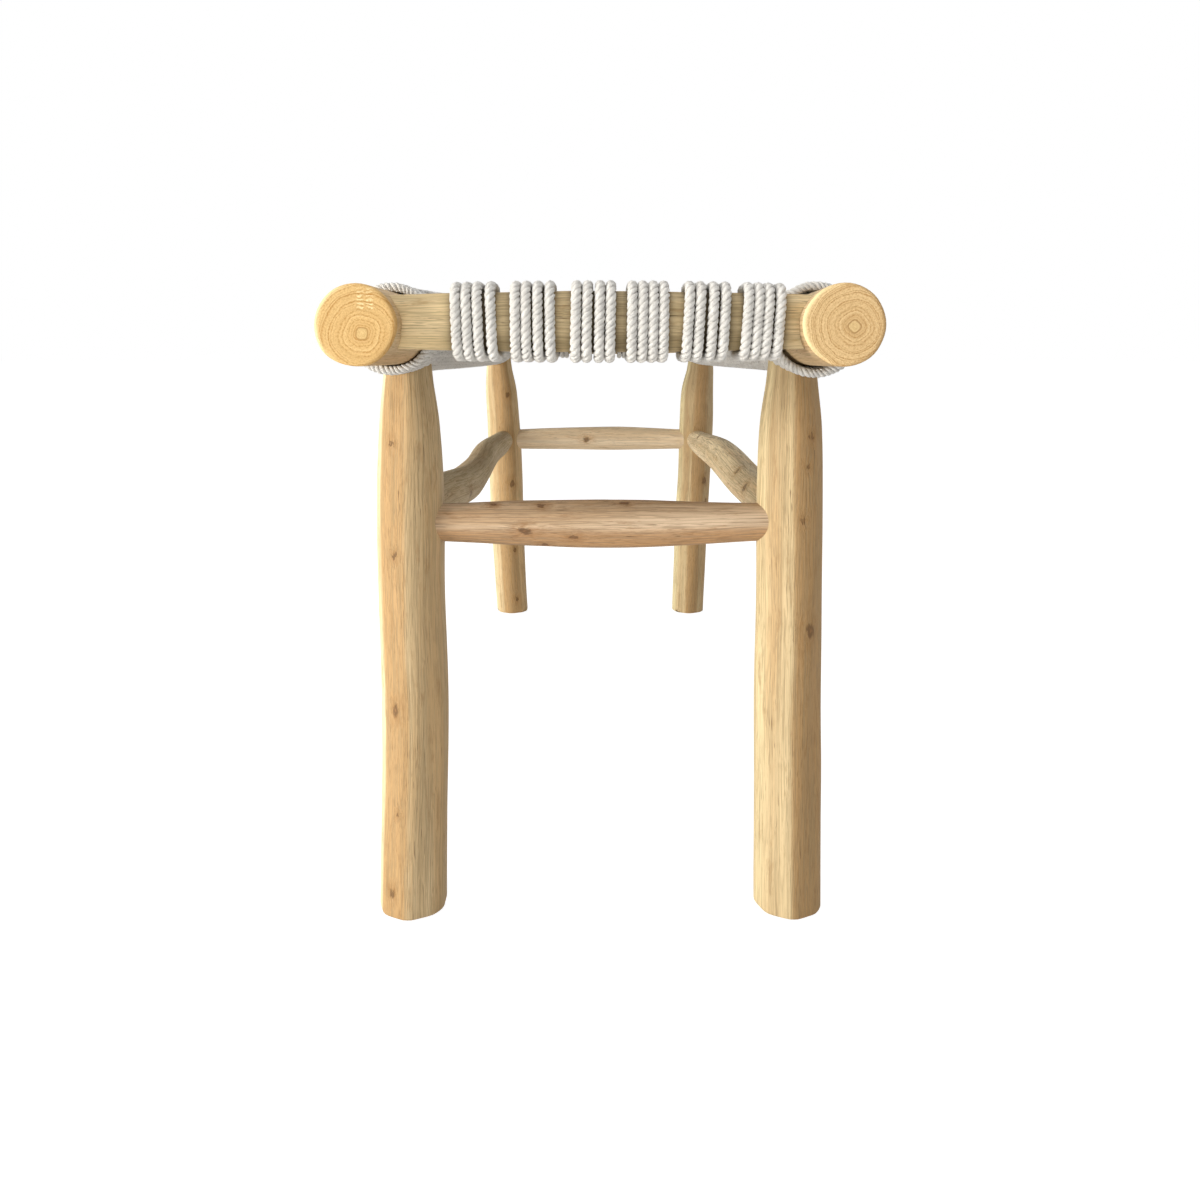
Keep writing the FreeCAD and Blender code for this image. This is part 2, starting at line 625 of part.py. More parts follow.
def main():
    doc = FreeCAD.newDocument("RusticLogBench")
    sheet = make_sheet(doc)
    parts = []

    stretchers = make_stretchers(doc)
    parts += [body for body, _ in stretchers.values()]
    leg_voids = fused(doc, "leg_voids", [make_floor(doc), *[bore for _, bore in stretchers.values()]])
    parts += [cut(doc, name, make_leg_body(doc, name), leg_voids) for name in LEGS]

    grown_rails = fused(
        doc,
        "grown_rails",
        [rail_log(doc, f"grown_rail_{side}", side, "Sizes.wood_clearance") for side in (-1, 1)],
    )
    end_rails = {
        "end_rail_front": make_end_rail(doc, "end_rail_front", -1, grown_rails),
        "end_rail_back": make_end_rail(doc, "end_rail_back", 1, grown_rails),
    }
    parts += [rail for rail, _ in end_rails.values()]

    leg_bores = []
    leg_necks = []
    for name in LEGS:
        base, rotation = leg_seat(name)
        drop = "Sizes.rail_radius + Sizes.leg_shoulder_gap"
        leg_bores.append(
            bar(
                doc,
                f"{name}_bore",
                "Sizes.leg_tenon_radius + Sizes.wood_clearance",
                "Sizes.leg_tenon_length + Sizes.wood_clearance",
                base,
                rotation,
                drop,
            )
        )
        leg_necks.append(
            bar(
                doc,
                f"{name}_neck",
                "Sizes.leg_neck_radius + Sizes.rope_clearance",
                f"{drop} + Sizes.leg_neck_length",
                base,
                rotation,
                f"{drop} + Sizes.leg_neck_length",
            )
        )
    rail_voids = fused(doc, "rail_voids", [*leg_bores, *[bore for _, bore in end_rails.values()]])
    for side, label in ((-1, "side_rail_left"), (1, "side_rail_right")):
        rail = rail_log(doc, f"{label}_log", side)
        add_worn_rims(rail, rail_stations(side))
        parts.append(cut(doc, label, rail, rail_voids))

    span = doc.addObject("Part::Box", "wrap_span")
    span.setExpression("Length", "Sizes.rail_spacing * 2")
    span.setExpression("Width", "Sizes.bench_length - 2 * Sizes.side_wrap_setback")
    span.setExpression("Height", "Sizes.rail_height * 2")
    place(span, "-Sizes.rail_spacing; Sizes.side_wrap_setback - Sizes.bench_length / 2; 0", "rotation(0; 0; 0)")
    for side, label in ((-1, "side_wrap_left"), (1, "side_wrap_right")):
        parts.append(make_side_wrap(doc, label, side, span, leg_necks))

    windings, seat_reach = make_windings(doc, sheet)
    parts += windings
    parts.append(make_seat(doc, sheet, seat_reach))

    doc.recompute()
    for item in doc.Objects:
        bad = {"Invalid", "Error"} & set(item.State)
        if bad:
            raise RuntimeError(f"{item.Label} is {sorted(bad)}")
    os.makedirs("parts", exist_ok=True)
    for item in parts:
        shape = item.Shape
        if shape.isNull() or not shape.isValid() or len(shape.Solids) != 1:
            raise RuntimeError(f"{item.Label}: valid {shape.isValid()}, {len(shape.Solids)} solids")
    for item in parts:
        item.Shape.exportStep(f"parts/{item.Label}.step")
    print(f"{len(parts)} pieces")


main()
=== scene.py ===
# %% [markdown]
# # A rustic log bench with a woven rope seat
# The bench is four peeled legs under two long side rails, two hewn end rails, four
# stretchers, and one kind of cotton rope. The rope is wound round the end rails in six
# groups of four and round the whole length of the side rails, and the seat is woven from it.
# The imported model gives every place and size, in metres. This lesson dresses it: each log
# is shaped again with the flats, bows and knots that a drawknife leaves, and each rope is
# laid from three strands.

# %% Load the frame
from math import acos, atan2, cos, exp, hypot, pi, radians, sin, tan

import bmesh
import bpy
import numpy as np
from mathutils import Matrix, Vector, noise


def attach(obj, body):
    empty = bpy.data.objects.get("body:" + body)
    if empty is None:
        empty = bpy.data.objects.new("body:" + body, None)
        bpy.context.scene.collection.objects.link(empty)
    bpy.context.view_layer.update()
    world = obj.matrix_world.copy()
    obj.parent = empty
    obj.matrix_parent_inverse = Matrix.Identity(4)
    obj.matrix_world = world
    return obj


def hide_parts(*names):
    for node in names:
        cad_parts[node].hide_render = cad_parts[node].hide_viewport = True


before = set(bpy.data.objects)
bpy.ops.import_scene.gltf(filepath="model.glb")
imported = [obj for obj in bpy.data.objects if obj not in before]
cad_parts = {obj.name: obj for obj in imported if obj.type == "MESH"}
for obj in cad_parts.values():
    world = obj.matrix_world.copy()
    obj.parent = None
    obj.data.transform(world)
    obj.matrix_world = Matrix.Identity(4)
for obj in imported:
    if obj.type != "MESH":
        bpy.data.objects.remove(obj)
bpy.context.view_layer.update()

scene = bpy.context.scene


def add_object(name, data):
    made = bpy.data.objects.new(name, data)
    scene.collection.objects.link(made)
    return made



# %% [markdown]
# ## The camera
# The photograph was taken from in front of the near end, just under the height of the seat.
# The camera is level, so upright things stay upright, and the frame is shifted down to
# take in the feet. A shift keeps the horizon level where a tilt would make the legs lean.

# %% Place the camera
photo_lens = bpy.data.cameras.new("photo_lens")
photo_lens.sensor_width = 36
photo_lens.lens = 28.5
photo_lens.shift_y = -0.204
photo_lens.clip_end = 200
photo_camera = add_object("photo_camera", photo_lens)
photo_camera.location = (0, -1.085, 0.396)
photo_camera.rotation_euler = (pi / 2, 0, 0)
scene.camera = photo_camera
scene.view_settings.view_transform = "Standard"
print("camera at", tuple(photo_camera.location), "lens", photo_lens.lens)

# %% [markdown]
# ## A small way to write node trees
# Every finish below is a tree of nodes. The first helper adds one node, sets its options,
# and fills its inputs with a plain value or with the output of another node.

# %% Node helper
def add_node(tree, kind, inputs=None, **options):
    node = tree.nodes.new("ShaderNode" + kind)
    for option, value in options.items():
        setattr(node, option, value)
    for socket, value in (inputs or {}).items():
        connect(tree, value, node.inputs[socket])
    return node


def connect(tree, value, socket):
    if isinstance(value, bpy.types.NodeSocket):
        tree.links.new(value, socket)
    else:
        socket.default_value = value


# %% [markdown]
# A recipe is a new finish with short names for the few nodes that it needs. It reads its
# place on the piece from an attribute of the mesh, and it is painted in layers, each by an
# amount that a noise or a ramp gives.

# %% Recipe for a finish
class Recipe:
    def __init__(self, name, attribute=None):
        self.finish = bpy.data.materials.new(name)
        self.finish.use_nodes = True
        self.tree = self.finish.node_tree
        self.shader = self.tree.nodes["Principled BSDF"]
        self.place = self.attribute(attribute, "Vector") if attribute else None
        self.normal = None

    def add(self, kind, inputs=None, **options):
        return add_node(self.tree, kind, inputs, **options)

    def attribute(self, name, output):
        return self.add("Attribute", attribute_name=name).outputs[output]

    def calc(self, operation, first, second=0):
        return self.add("Math", {0: first, 1: second}, operation=operation).outputs[0]

    def times(self, first, second):
        return self.calc("MULTIPLY", first, second)

    def plus(self, first, second):
        return self.calc("ADD", first, second)

    def vector(self, operation, first, second=(0, 0, 0)):
        node = self.add("VectorMath", {0: first, 1: second}, operation=operation)
        return node.outputs["Value" if operation in ("LENGTH", "DOT_PRODUCT") else 0]

    def from_axis(self, place):
        return self.vector("LENGTH", self.vector("MULTIPLY", place, (1, 1, 0)))

    def ramp(self, value, start, stop, low=0, high=1, **options):
        """Low up to the start, high from the stop on, and even between them."""
        inputs = {"Value": value, "From Min": start, "From Max": stop, "To Min": low, "To Max": high}
        return self.add("MapRange", inputs, **options).outputs[0]

    def cloud(self, place, across, along, detail=2, rough=0.5, output=0):
        """Noise that is stretched along the grain: so many spots to a metre each way."""
        spread = self.add("Mapping", {"Vector": place, "Scale": (across, across, along)})
        inputs = {"Vector": spread.outputs[0], "Scale": 1, "Detail": detail, "Roughness": rough}
        return self.add("TexNoise", inputs).outputs[output]

    def noise(self, place, across, along, start=0, stop=1, detail=2, rough=0.5):
        return self.ramp(self.cloud(place, across, along, detail, rough), start, stop)

    def shaking(self, place, across, along, detail=2, rough=0.5):
        """Noise in three directions, even about nought."""
        cloud = self.cloud(place, across, along, detail, rough, "Color")
        return self.vector("SUBTRACT", cloud, (0.5, 0.5, 0.5))

    def nearness(self, place, knots):
        """Nearness to the closest knot: 1 at its eye and 0 away from it."""
        nearest = 0
        for *eye, size in knots:
            squeezed = self.vector("MULTIPLY", self.vector("SUBTRACT", place, eye), (1, 1, 0.65))
            near = self.ramp(self.vector("LENGTH", squeezed), 0, size, 1, 0)
            nearest = self.calc("MAXIMUM", near, nearest)
        return nearest

    def ground(self, colour):
        self.colour = (*colour, 1)

    def paint(self, amount, colour, strength=None):
        if strength is not None:
            amount = self.times(amount, strength)
        layers = {0: amount, 6: self.colour, 7: (*colour, 1)}
        self.colour = self.add("Mix", layers, data_type="RGBA").outputs[2]

    def bump(self, height, strength, distance, invert=True):
        inputs = {"Strength": strength, "Distance": distance, "Height": height}
        if self.normal:
            inputs["Normal"] = self.normal
        self.normal = self.add("Bump", inputs, invert=invert).outputs[0]

    def done(self, roughness, shine):
        surface = {"Base Color": self.colour, "Normal": self.normal, "Roughness": roughness,
                   "Specular IOR Level": shine}
        for name, value in surface.items():
            connect(self.tree, value, self.shader.inputs[name])
        return self.finish


def toned(colour, *shares):
    """A colour with red, green and blue multiplied by one share or by three."""
    return tuple(c * share for c, share in zip(colour, shares * (3 // len(shares))))


# %% [markdown]
# ## Floor, room and lamps
# The bench stands in a white room. To the camera and to reflections the room and the floor
# are plain white, while the light that falls on the bench is only as strong as a colour
# needs to look as it is written. The floor still takes a soft shadow under the feet, and
# it is open from below.
# One broad lamp stands to the left, because the left side of every log is bright cream in
# the photograph and the right side is brown. A softer one in front reaches under the seat,
# and a weak one stands for the light that a wall on the right gives back. The last one is
# above, so that the seat is as white from above as the ropes are from in front.

# %% White room
room = bpy.data.worlds.new("white_room")
scene.world = room
room.use_nodes = True
room_tree = room.node_tree
room_tree.nodes.clear()


def seen_or_lit(tree, lit, seen):
    """One shader for the light that falls on things and one for what is seen directly."""
    path = add_node(tree, "LightPath").outputs
    direct = path["Is Camera Ray"]
    for ray in ("Is Glossy Ray", "Is Transmission Ray"):
        direct = add_node(tree, "Math", {0: direct, 1: path[ray]}, operation="MAXIMUM").outputs[0]
    return add_node(tree, "MixShader", {0: direct, 1: lit.outputs[0], 2: seen.outputs[0]}).outputs[0]


room_light = add_node(room_tree, "Background", {"Color": (0.97, 0.98, 1, 1), "Strength": 0.31})
room_white = add_node(room_tree, "Background", {"Color": (1, 1, 1, 1), "Strength": 1})
add_node(room_tree, "OutputWorld", {"Surface": seen_or_lit(room_tree, room_light, room_white)})
print("room light strength", room_light.inputs["Strength"].default_value)

# %% Floor
FLOOR_HALF_SIDE = 60
FLOOR_GAP = 0.0004
boards = Recipe("pale_floor")
floor_tree = boards.tree
floor_tree.nodes.remove(boards.shader)
floor_paint = boards.add("BsdfDiffuse", {"Color": (0.9, 0.9, 0.9, 1)})
floor_shade = boards.add("BsdfDiffuse", {"Color": (0.34, 0.34, 0.34, 1)})
floor_glow = boards.add("Emission", {"Color": (1, 1, 1, 1), "Strength": 0.91})
floor_seen = boards.add("AddShader", {0: floor_shade.outputs[0], 1: floor_glow.outputs[0]})
from_above = seen_or_lit(floor_tree, floor_paint, floor_seen)
from_below = boards.add("BsdfTransparent").outputs[0]
backfacing = boards.add("NewGeometry").outputs["Backfacing"]
floor_whole = boards.add("MixShader", {0: backfacing, 1: from_above, 2: from_below})
connect(floor_tree, floor_whole.outputs[0], floor_tree.nodes["Material Output"].inputs["Surface"])

floor_shape = bmesh.new()
bmesh.ops.create_grid(floor_shape, x_segments=1, y_segments=1, size=FLOOR_HALF_SIDE)
bmesh.ops.translate(floor_shape, vec=(0, 0, -FLOOR_GAP), verts=floor_shape.verts)
floor_mesh = bpy.data.meshes.new("floor")
floor_shape.to_mesh(floor_mesh)
floor_shape.free()
floor_mesh.materials.append(boards.finish)
floor = add_object("floor", floor_mesh)
print("floor side", round(floor.dimensions.x), "m")

# %% Lamps
LAMP_AIM = Vector((0, 0, 0.3))


def hang_lamp(name, place, size, watts, colour):
    lamp_data = bpy.data.lights.new(name, "AREA")
    lamp_data.size = size
    lamp_data.energy = watts
    lamp_data.color = colour
    lamp = add_object(name, lamp_data)
    lamp.location = place
    lamp.rotation_euler = (LAMP_AIM - Vector(place)).to_track_quat("-Z", "Y").to_euler()
    print(name, watts, "watts")


hang_lamp("window_lamp", (-2.95, -1.6, 0.55), 1.5, 128, (1, 0.965, 0.9))
hang_lamp("soft_lamp", (-0.1, -2.9, 0.55), 1.8, 24, (1, 0.98, 0.95))
hang_lamp("far_wall", (2.7, -0.4, 0.7), 1.8, 4, (1, 0.98, 0.95))
hang_lamp("sky_lamp", (0, 0.1, 3), 2.2, 36, (1, 0.99, 0.97))

# %% [markdown]
# ## What a log remembers
# Grain runs along a log wherever the log points. Each log is first made straight and
# upright, and every corner of its mesh keeps that place in an attribute called grain:
# two numbers across the log from its pith, and one along it. The log is bent and moved
# afterwards, so rings, streaks and knots follow it without any image.

# %% Peeled wood finish
def peeled_finish(name, pale, warm, dark, knots=(), streaks=1, amber=0.35,
                  amber_and_shade_strip=None, edge=0):
    """Sides of a peeled log: broad tones, long lines, short open pores and a few knots."""
    log = Recipe(name, "grain")
    place = log.place
    shaking = log.shaking(place, 420, 150, 3, 0.7)
    inputs = {0: shaking, 1: (0.009, 0.009, 0.009), 2: place}
    ragged = log.add("VectorMath", inputs, operation="MULTIPLY_ADD").outputs[0]
    near_knot = log.nearness(ragged, knots) if knots else 0
    swirl = log.ramp(near_knot, 0, 0.7, 0.003, 0.012)
    inputs = {0: log.shaking(place, 70, 24), "Scale": swirl}
    pushed = log.add("VectorMath", inputs, operation="SCALE").outputs[0]
    grain = log.vector("ADD", place, pushed)

    zones = log.noise(place, 55, 2.4, 0.42, 0.58)
    stained = log.noise(place, 75, 4, 0.5, 0.64, 3)
    lines = log.noise(grain, 1100, 9, 0.48, 0.63, rough=0.6)
    swell = log.noise(grain, 80, 2.4, detail=1)
    figure = log.ramp(log.calc("SINE", log.times(swell, 110)), 0.2, 1)
    smudges = log.noise(grain, 190, 34, 0.55, 0.68, 4, 0.75)
    pores = log.noise(grain, 1600, 60, 0.66, 0.73, 1, 0.4)
    pores = log.times(pores, log.noise(place, 90, 14, 0.35, 0.62, 1))
    amber_colour = toned(warm, 1.04, 0.86, 0.66)
    log.ground(pale)
    log.paint(zones, warm)
    log.paint(stained, amber_colour, amber)
    # The strip paints one side of the log amber and, by its depth share, darker: partly the wood's own
    # amber and partly painted shade, set to how the light falls on each log.
    if amber_and_shade_strip:
        out_x, out_y, start, width, depth = amber_and_shade_strip
        facing = log.vector("DOT_PRODUCT", place, (out_x, out_y, 0))
        facing = log.plus(facing, log.times(log.cloud(place, 60, 14), 0.004))
        amber_and_shade_strip = log.ramp(facing, start, start + width, high=0.9, interpolation_type="SMOOTHSTEP")
        log.paint(amber_and_shade_strip, toned(amber_colour, depth))
        flecks = log.noise(grain, 620, 75, 0.5, 0.66, 3, 0.75)
        log.paint(flecks, toned(warm, 0.5, 0.38, 0.26), log.plus(log.times(amber_and_shade_strip, 0.5), 0.14))
        # Painted highlight: a pale cream band, as strong as edge, on the side of the log facing the lamp on
        # the left.
        lit = log.vector("DOT_PRODUCT", place, (-1, 0, 0))
        log.paint(log.ramp(lit, 0.0195, 0.0225, high=edge), (0.93, 0.84, 0.5))
    log.paint(lines, toned(warm, 0.6), 0.58 * streaks)
    log.paint(figure, toned(warm, 0.58), 0.24 * streaks)
    log.paint(smudges, toned(warm, 0.62, 0.5, 0.38), 0.5 * streaks)
    log.paint(pores, dark, 0.7 * streaks)
    pits = pores
    if knots:
        halo = log.noise(grain, 420, 110, 0.34, 0.66, 3, 0.7)
        log.paint(log.ramp(near_knot, 0.05, 0.7), toned(warm, 0.6, 0.45, 0.3), halo)
        log.paint(log.ramp(near_knot, 0.68, 0.8, high=0.88), toned(dark, 1.2))
        log.paint(log.ramp(near_knot, 0.88, 0.95, high=0.7), toned(warm, 0.6, 0.42, 0.3))
        pits = log.plus(pores, log.times(near_knot, 1.6))
    # Painted shade from the shade attribute, which only the end rails carry: darker beside the ropes.
    log.paint(log.attribute("shade", "Fac"), toned(dark, 0.35))
    log.bump(log.plus(lines, figure), 0.3, 0.0005)
    log.bump(pits, 0.45, 0.0004)
    return log.done(log.ramp(lines, 0, 1, 0.62, 0.82), 0.28)


# %% [markdown]
# ## End grain
# The sawn discs at the near end are the brightest wood in the photograph: golden, with
# rings that are squarish round the pith and rounder outside. The rings are bands of the
# distance from the pith. A little noise is added to that distance so that no ring is a
# perfect circle, and the distance is measured with a power above two near the pith,
# which gives the corners. The rim is painted cream on the side towards the lamp and brown
# on the other side, as painted highlight and painted shade. The left disc has two short rows
# of chops near its top, painted as cream ridges and brown gaps instead of being cut.

# %% Sawn end finish
SQUARISH = 3.2
PITH_HALF_WIDTH = 0.0036
PAINTED_HIGHLIGHT_CREAM = (0.95, 0.8, 0.45)
CHOP_SPACING = 0.0024


def sawn_finish(name, gold, brown, pith=(0, 0), ring_width=0.0012, turn=0,
                chops=None, heartwood=0):
    disc = Recipe(name, "grain")
    place = disc.place
    centred = disc.add("Mapping", {"Vector": place, "Location": (-pith[0], -pith[1], 0)})
    turned = disc.add("Mapping", {"Vector": centred.outputs[0], "Rotation": (0, 0, turn)}).outputs[0]
    parts = disc.add("SeparateXYZ", {0: turned}).outputs
    powers = [disc.calc("POWER", disc.calc("ABSOLUTE", parts[axis]), SQUARISH) for axis in "XY"]
    square_way = disc.calc("POWER", disc.plus(*powers), 1 / SQUARISH)
    round_way = disc.from_axis(turned)
    outward = disc.ramp(round_way, 0.004, 0.019)
    way = disc.add("Mix", {0: outward, 2: square_way, 3: round_way}, data_type="FLOAT").outputs[0]
    way = disc.plus(way, disc.times(disc.cloud(turned, 75, 0), 0.0042))
    way = disc.add("CombineXYZ", {0: way}).outputs[0]
    fine = disc.cloud(way, 1 / ring_width, 1, 3, 0.75)
    broad = disc.noise(way, 210, 1, 0.36, 0.66, 1)
    strength = disc.noise(turned, 110, 0, 0.2, 0.65)
    speckle = disc.noise(turned, 780, 0, 0.46, 0.62, 3, 0.8)
    dotted = disc.times(disc.plus(strength, 0.7), disc.plus(speckle, 0.45))
    rings = disc.times(disc.ramp(fine, 0.48, 0.61), dotted)
    halfway = [(g + b) / 2 for g, b in zip(gold, brown)]

    disc.ground(gold)
    disc.paint(broad, halfway, 0.7)
    disc.paint(disc.ramp(outward, 0, 1, heartwood, 0), halfway)
    disc.paint(disc.ramp(fine, 0.44, 0.3, high=0.6), (0.93, 0.76, 0.44))
    disc.paint(rings, brown, 0.95)
    disc.paint(speckle, brown, 0.42)
    disc.paint(disc.ramp(square_way, 0.0028, PITH_HALF_WIDTH, 0.25, 0), (0.78, 0.63, 0.3))
    from_pith_edge = disc.calc("ABSOLUTE", disc.calc("SUBTRACT", square_way, PITH_HALF_WIDTH))
    disc.paint(disc.ramp(from_pith_edge, 0, 0.0007, 0.85, 0), toned(brown, 0.8))
    # Painted highlight and shade on the rim: cream on the side facing the lamp on the left, brown on the
    # side turned away.
    rim = disc.ramp(disc.from_axis(place), 0.0226, 0.0246)
    to_light = disc.vector("DOT_PRODUCT", place, (-40, 8, 0))
    disc.paint(rim, PAINTED_HIGHLIGHT_CREAM, disc.ramp(to_light, 0.2, 0.9, high=0.6))
    disc.paint(rim, toned(brown, 0.8), disc.ramp(to_light, -0.2, -0.9, high=0.55))
    # The chops are painted, not cut: cream on their ridges as painted highlight and brown in their gaps as
    # painted shade.
    if chops:
        parts = disc.add("SeparateXYZ", {0: disc.vector("SUBTRACT", place, (*chops, 0))}).outputs
        uneven = disc.noise(place, 330, 0, 0.3, 0.7)
        height = disc.plus(parts["Y"], disc.times(uneven, 0.0016))
        rungs = disc.calc("SINE", disc.times(height, 2 * pi / CHOP_SPACING))
        across, up = [disc.calc("ABSOLUTE", parts[axis]) for axis in "XY"]
        rows = disc.times(disc.ramp(across, 0.0045, 0.0056, 1, 0), disc.ramp(across, 0.0004, 0.0011))
        rows = disc.times(rows, disc.ramp(up, 0.0058, 0.0076, 1, 0))
        rows = disc.times(rows, disc.plus(uneven, 0.45))
        disc.paint(rows, PAINTED_HIGHLIGHT_CREAM, disc.ramp(rungs, 0, 0.8, high=0.6))
        disc.paint(rows, brown, disc.ramp(rungs, 0, -0.8, high=0.5))
    disc.bump(disc.plus(rings, disc.times(speckle, 0.5)), 0.22, 0.0004)
    return disc.done(0.68, 0.3)


# %% [markdown]
# ## Making a log
# A lathe would make these logs too perfect. The making starts as a ring that is drawn out
# along Z in one go with the spin operator, which also moves as it turns. The rims are
# bevelled while the log is still a plain bar. Then each corner is moved: outward or inward
# for the girth and the drawknife's flats, and sideways for the bow of the grown wood.

# %% Log maker
LOG_CORNERS = 48
LOG_STEP = 0.006
TENON = 0.0106
SHARPNESS = 15


def spaced(stations, share, column):
    """Smooth value of one column of a log's stations at a share of its length."""
    places = [station[0] for station in stations]
    values = [station[column] for station in stations]
    last = len(places) - 1
    index = max(i for i in range(last) if places[i] <= share or i == 0)
    p0, p1 = places[index], places[index + 1]
    step = (share - p0) / (p1 - p0)
    slopes = []
    for i in (index, index + 1):
        before, after = max(i - 1, 0), min(i + 1, last)
        slope = (values[after] - values[before]) / (places[after] - places[before])
        slopes.append(slope * (p1 - p0))
    s2, s3 = step * step, step ** 3
    return (
        (2 * s3 - 3 * s2 + 1) * values[index] + (s3 - 2 * s2 + step) * slopes[0]
        + (3 * s2 - 2 * s3) * values[index + 1] + (s3 - s2) * slopes[1]
    )


def flat_share(angle, share, flats, seed):
    """Radius of a drawknifed log at an angle, as a share of its girth."""
    total = 0
    for flat in range(flats):
        shift = 0.55 * noise.noise(Vector((flat * 3.1, share * 1.3, seed)))
        facing = cos(angle - (flat + shift) * 2 * pi / flats - seed)
        if facing > 0:
            depth = 0.962 + 0.03 * noise.noise(Vector((flat * 7.7, share * 2.2, seed + 9)))
            total += (facing / depth) ** SHARPNESS
    return min(total ** (-1 / SHARPNESS) * (1 + 0.0096 * max(flats - 9, 0)), 1.012)


def draw_out(work, rise, steps, turn=0):
    """Draw the outline out along Z, one rise to a step, with a turn over the whole."""
    bmesh.ops.spin(work, geom=work.edges[:], axis=(0, 0, 1), cent=(0, 0, 0), dvec=(0, 0, rise),
                   angle=turn, steps=steps, use_normal_flip=False)


def close_ends(work):
    bmesh.ops.holes_fill(work, edges=[e for e in work.edges if e.is_boundary], sides=0)
    bmesh.ops.recalc_face_normals(work, faces=work.faces)


def straight_bar(length, radius, round_end):
    """A bar along Z with rings along it, closed ends and worn rims."""
    bar = bmesh.new()
    bmesh.ops.create_circle(bar, segments=LOG_CORNERS, radius=radius)
    steps = int(length / LOG_STEP)
    draw_out(bar, length / steps, steps)
    close_ends(bar)
    caps = [f for f in bar.faces if len(f.verts) > 4]
    if round_end:
        rims = list({e for cap in caps for e in cap.edges})
        bmesh.ops.bevel(bar, geom=rims, offset=round_end, segments=5, profile=0.5,
                        affect="EDGES", material=-1, clamp_overlap=True)
        caps = [f for f in bar.faces if len(f.verts) > 4]
        worn = round_end * 1.01
        for face in bar.faces:
            heights = [v.co.z for v in face.verts]
            face.material_index = int(min(heights) > length - worn or max(heights) < worn)
    for cap in caps:
        cap.material_index = 1
        for share in (0.14, 0.2, 0.24, 0.24):
            made = bmesh.ops.inset_region(bar, faces=[cap], thickness=(radius - round_end) * share,
                                          use_even_offset=True)
            for face in made["faces"]:
                face.material_index = 1
        bmesh.ops.poke(bar, faces=[cap])
    return bar


def shape_log(stations, length, radius, matrix, flats, seed, round_end=0, grow=(0, 0),
              round_tips=0):
    """A grown log: bowed, tapered and flatted, with its grain remembered."""
    bar = straight_bar(length + grow[0] + grow[1], radius, round_end)
    grain = bar.verts.layers.float_vector.new("grain")
    for vert in bar.verts:
        x, y, z = vert.co.x, vert.co.y, vert.co.z - grow[0]
        share = min(max(z / length, 0), 1)
        vert[grain] = (x, y, z + seed)
        angle = atan2(y, x)
        flatted = flat_share(angle, share, flats, seed)
        if round_tips:
            flatted = 1 + (flatted - 1) * min(min(share, 1 - share) / round_tips, 1)
        girth = spaced(stations, share, 3) * flatted
        if z > length and grow[1] > TENON:
            girth *= 1 - 0.12 * (z - length) / grow[1]
        place = (cos(angle) * 1.2, sin(angle) * 1.2, share * length * 14 + seed * 5)
        girth *= 1 + 0.012 * noise.noise(Vector(place))
        side = spaced(stations, share, 1) * radius
        rise = spaced(stations, share, 2) * radius
        vert.co = matrix @ Vector((x * girth + side, y * girth + rise, z))
    return bar


def finish_piece(name, work, finishes, smooth=True, node=None):
    """An object from finished work, in the place of the node of its name or of another one."""
    mesh = bpy.data.meshes.new("dressed_" + name)
    work.to_mesh(mesh)
    work.free()
    for finish in finishes:
        mesh.materials.append(finish)
    for face in mesh.polygons:
        face.use_smooth = smooth
    piece = add_object("dressed_" + name, mesh)
    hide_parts(node or name)
    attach(piece, "root")
    corners = np.array([v.co[:] for v in mesh.vertices])
    low, high = corners.min(0).round(3).tolist(), corners.max(0).round(3).tolist()
    print(name, "faces", len(mesh.polygons), "from", low, "to", high)


# %% [markdown]
# ## The side rails
# Two long logs carry everything. Their near ends are the two golden discs in the
# photograph. The left one bends outward towards its far end, the right one a little behind
# its disc, and both are thinner far off. The saw left them flat with a worn round on the
# rim, so the rim gets a real bevel and the sides get a rougher, browner finish than the
# discs. A station is a share of the length, two bows and a girth.

# %% Side rails
SIDES = {-1: "left", 1: "right"}
ENDS = {-1: "front", 1: "back"}
RAIL_SPACING, RAIL_HEIGHT, RAIL_RADIUS, BENCH_LENGTH = 0.302, 0.4145, 0.026, 1
RAIL_END_ROUND = 0.002
RAIL_STATIONS = {
    -1: [(0, -0.38, 0, 0.92), (0.25, -0.16, -0.03, 0.94), (0.5, -0.04, 0, 0.98),
         (0.75, 0, 0.03, 0.99), (1, 0, 0.012, 1)],
    1: [(0, 0, 0, 0.92), (0.25, 0.02, -0.03, 0.94), (0.5, 0.05, 0, 0.97),
        (0.75, 0.11, 0.02, 0.99), (0.9, 0.17, 0, 1), (1, 0, 0.012, 1)],
}
ALONG_BENCH = Matrix.Rotation(pi / 2, 4, "X")
rail_finish = peeled_finish("peeled_rail", (0.66, 0.49, 0.28), (0.54, 0.37, 0.19), (0.13, 0.07, 0.03))
sawn_discs = {
    -1: sawn_finish("sawn_disc_left", (0.79, 0.545, 0.235), (0.5, 0.26, 0.07),
                    pith=(0.0043, -0.0055), turn=0.1, chops=(0.0062, 0.0158)),
    1: sawn_finish("sawn_disc_right", (0.8, 0.58, 0.3), (0.45, 0.25, 0.085),
                   pith=(0.0058, -0.0012), turn=0.8, ring_width=0.001, heartwood=0.5),
}
for side, word in SIDES.items():
    seat = Matrix.Translation((side * RAIL_SPACING / 2, BENCH_LENGTH / 2, RAIL_HEIGHT)) @ ALONG_BENCH
    rail = shape_log(RAIL_STATIONS[side], BENCH_LENGTH, RAIL_RADIUS, seat, 15, 1.3 + side, RAIL_END_ROUND)
    finish_piece("side_rail_" + word, rail, [rail_finish, sawn_discs[side]])
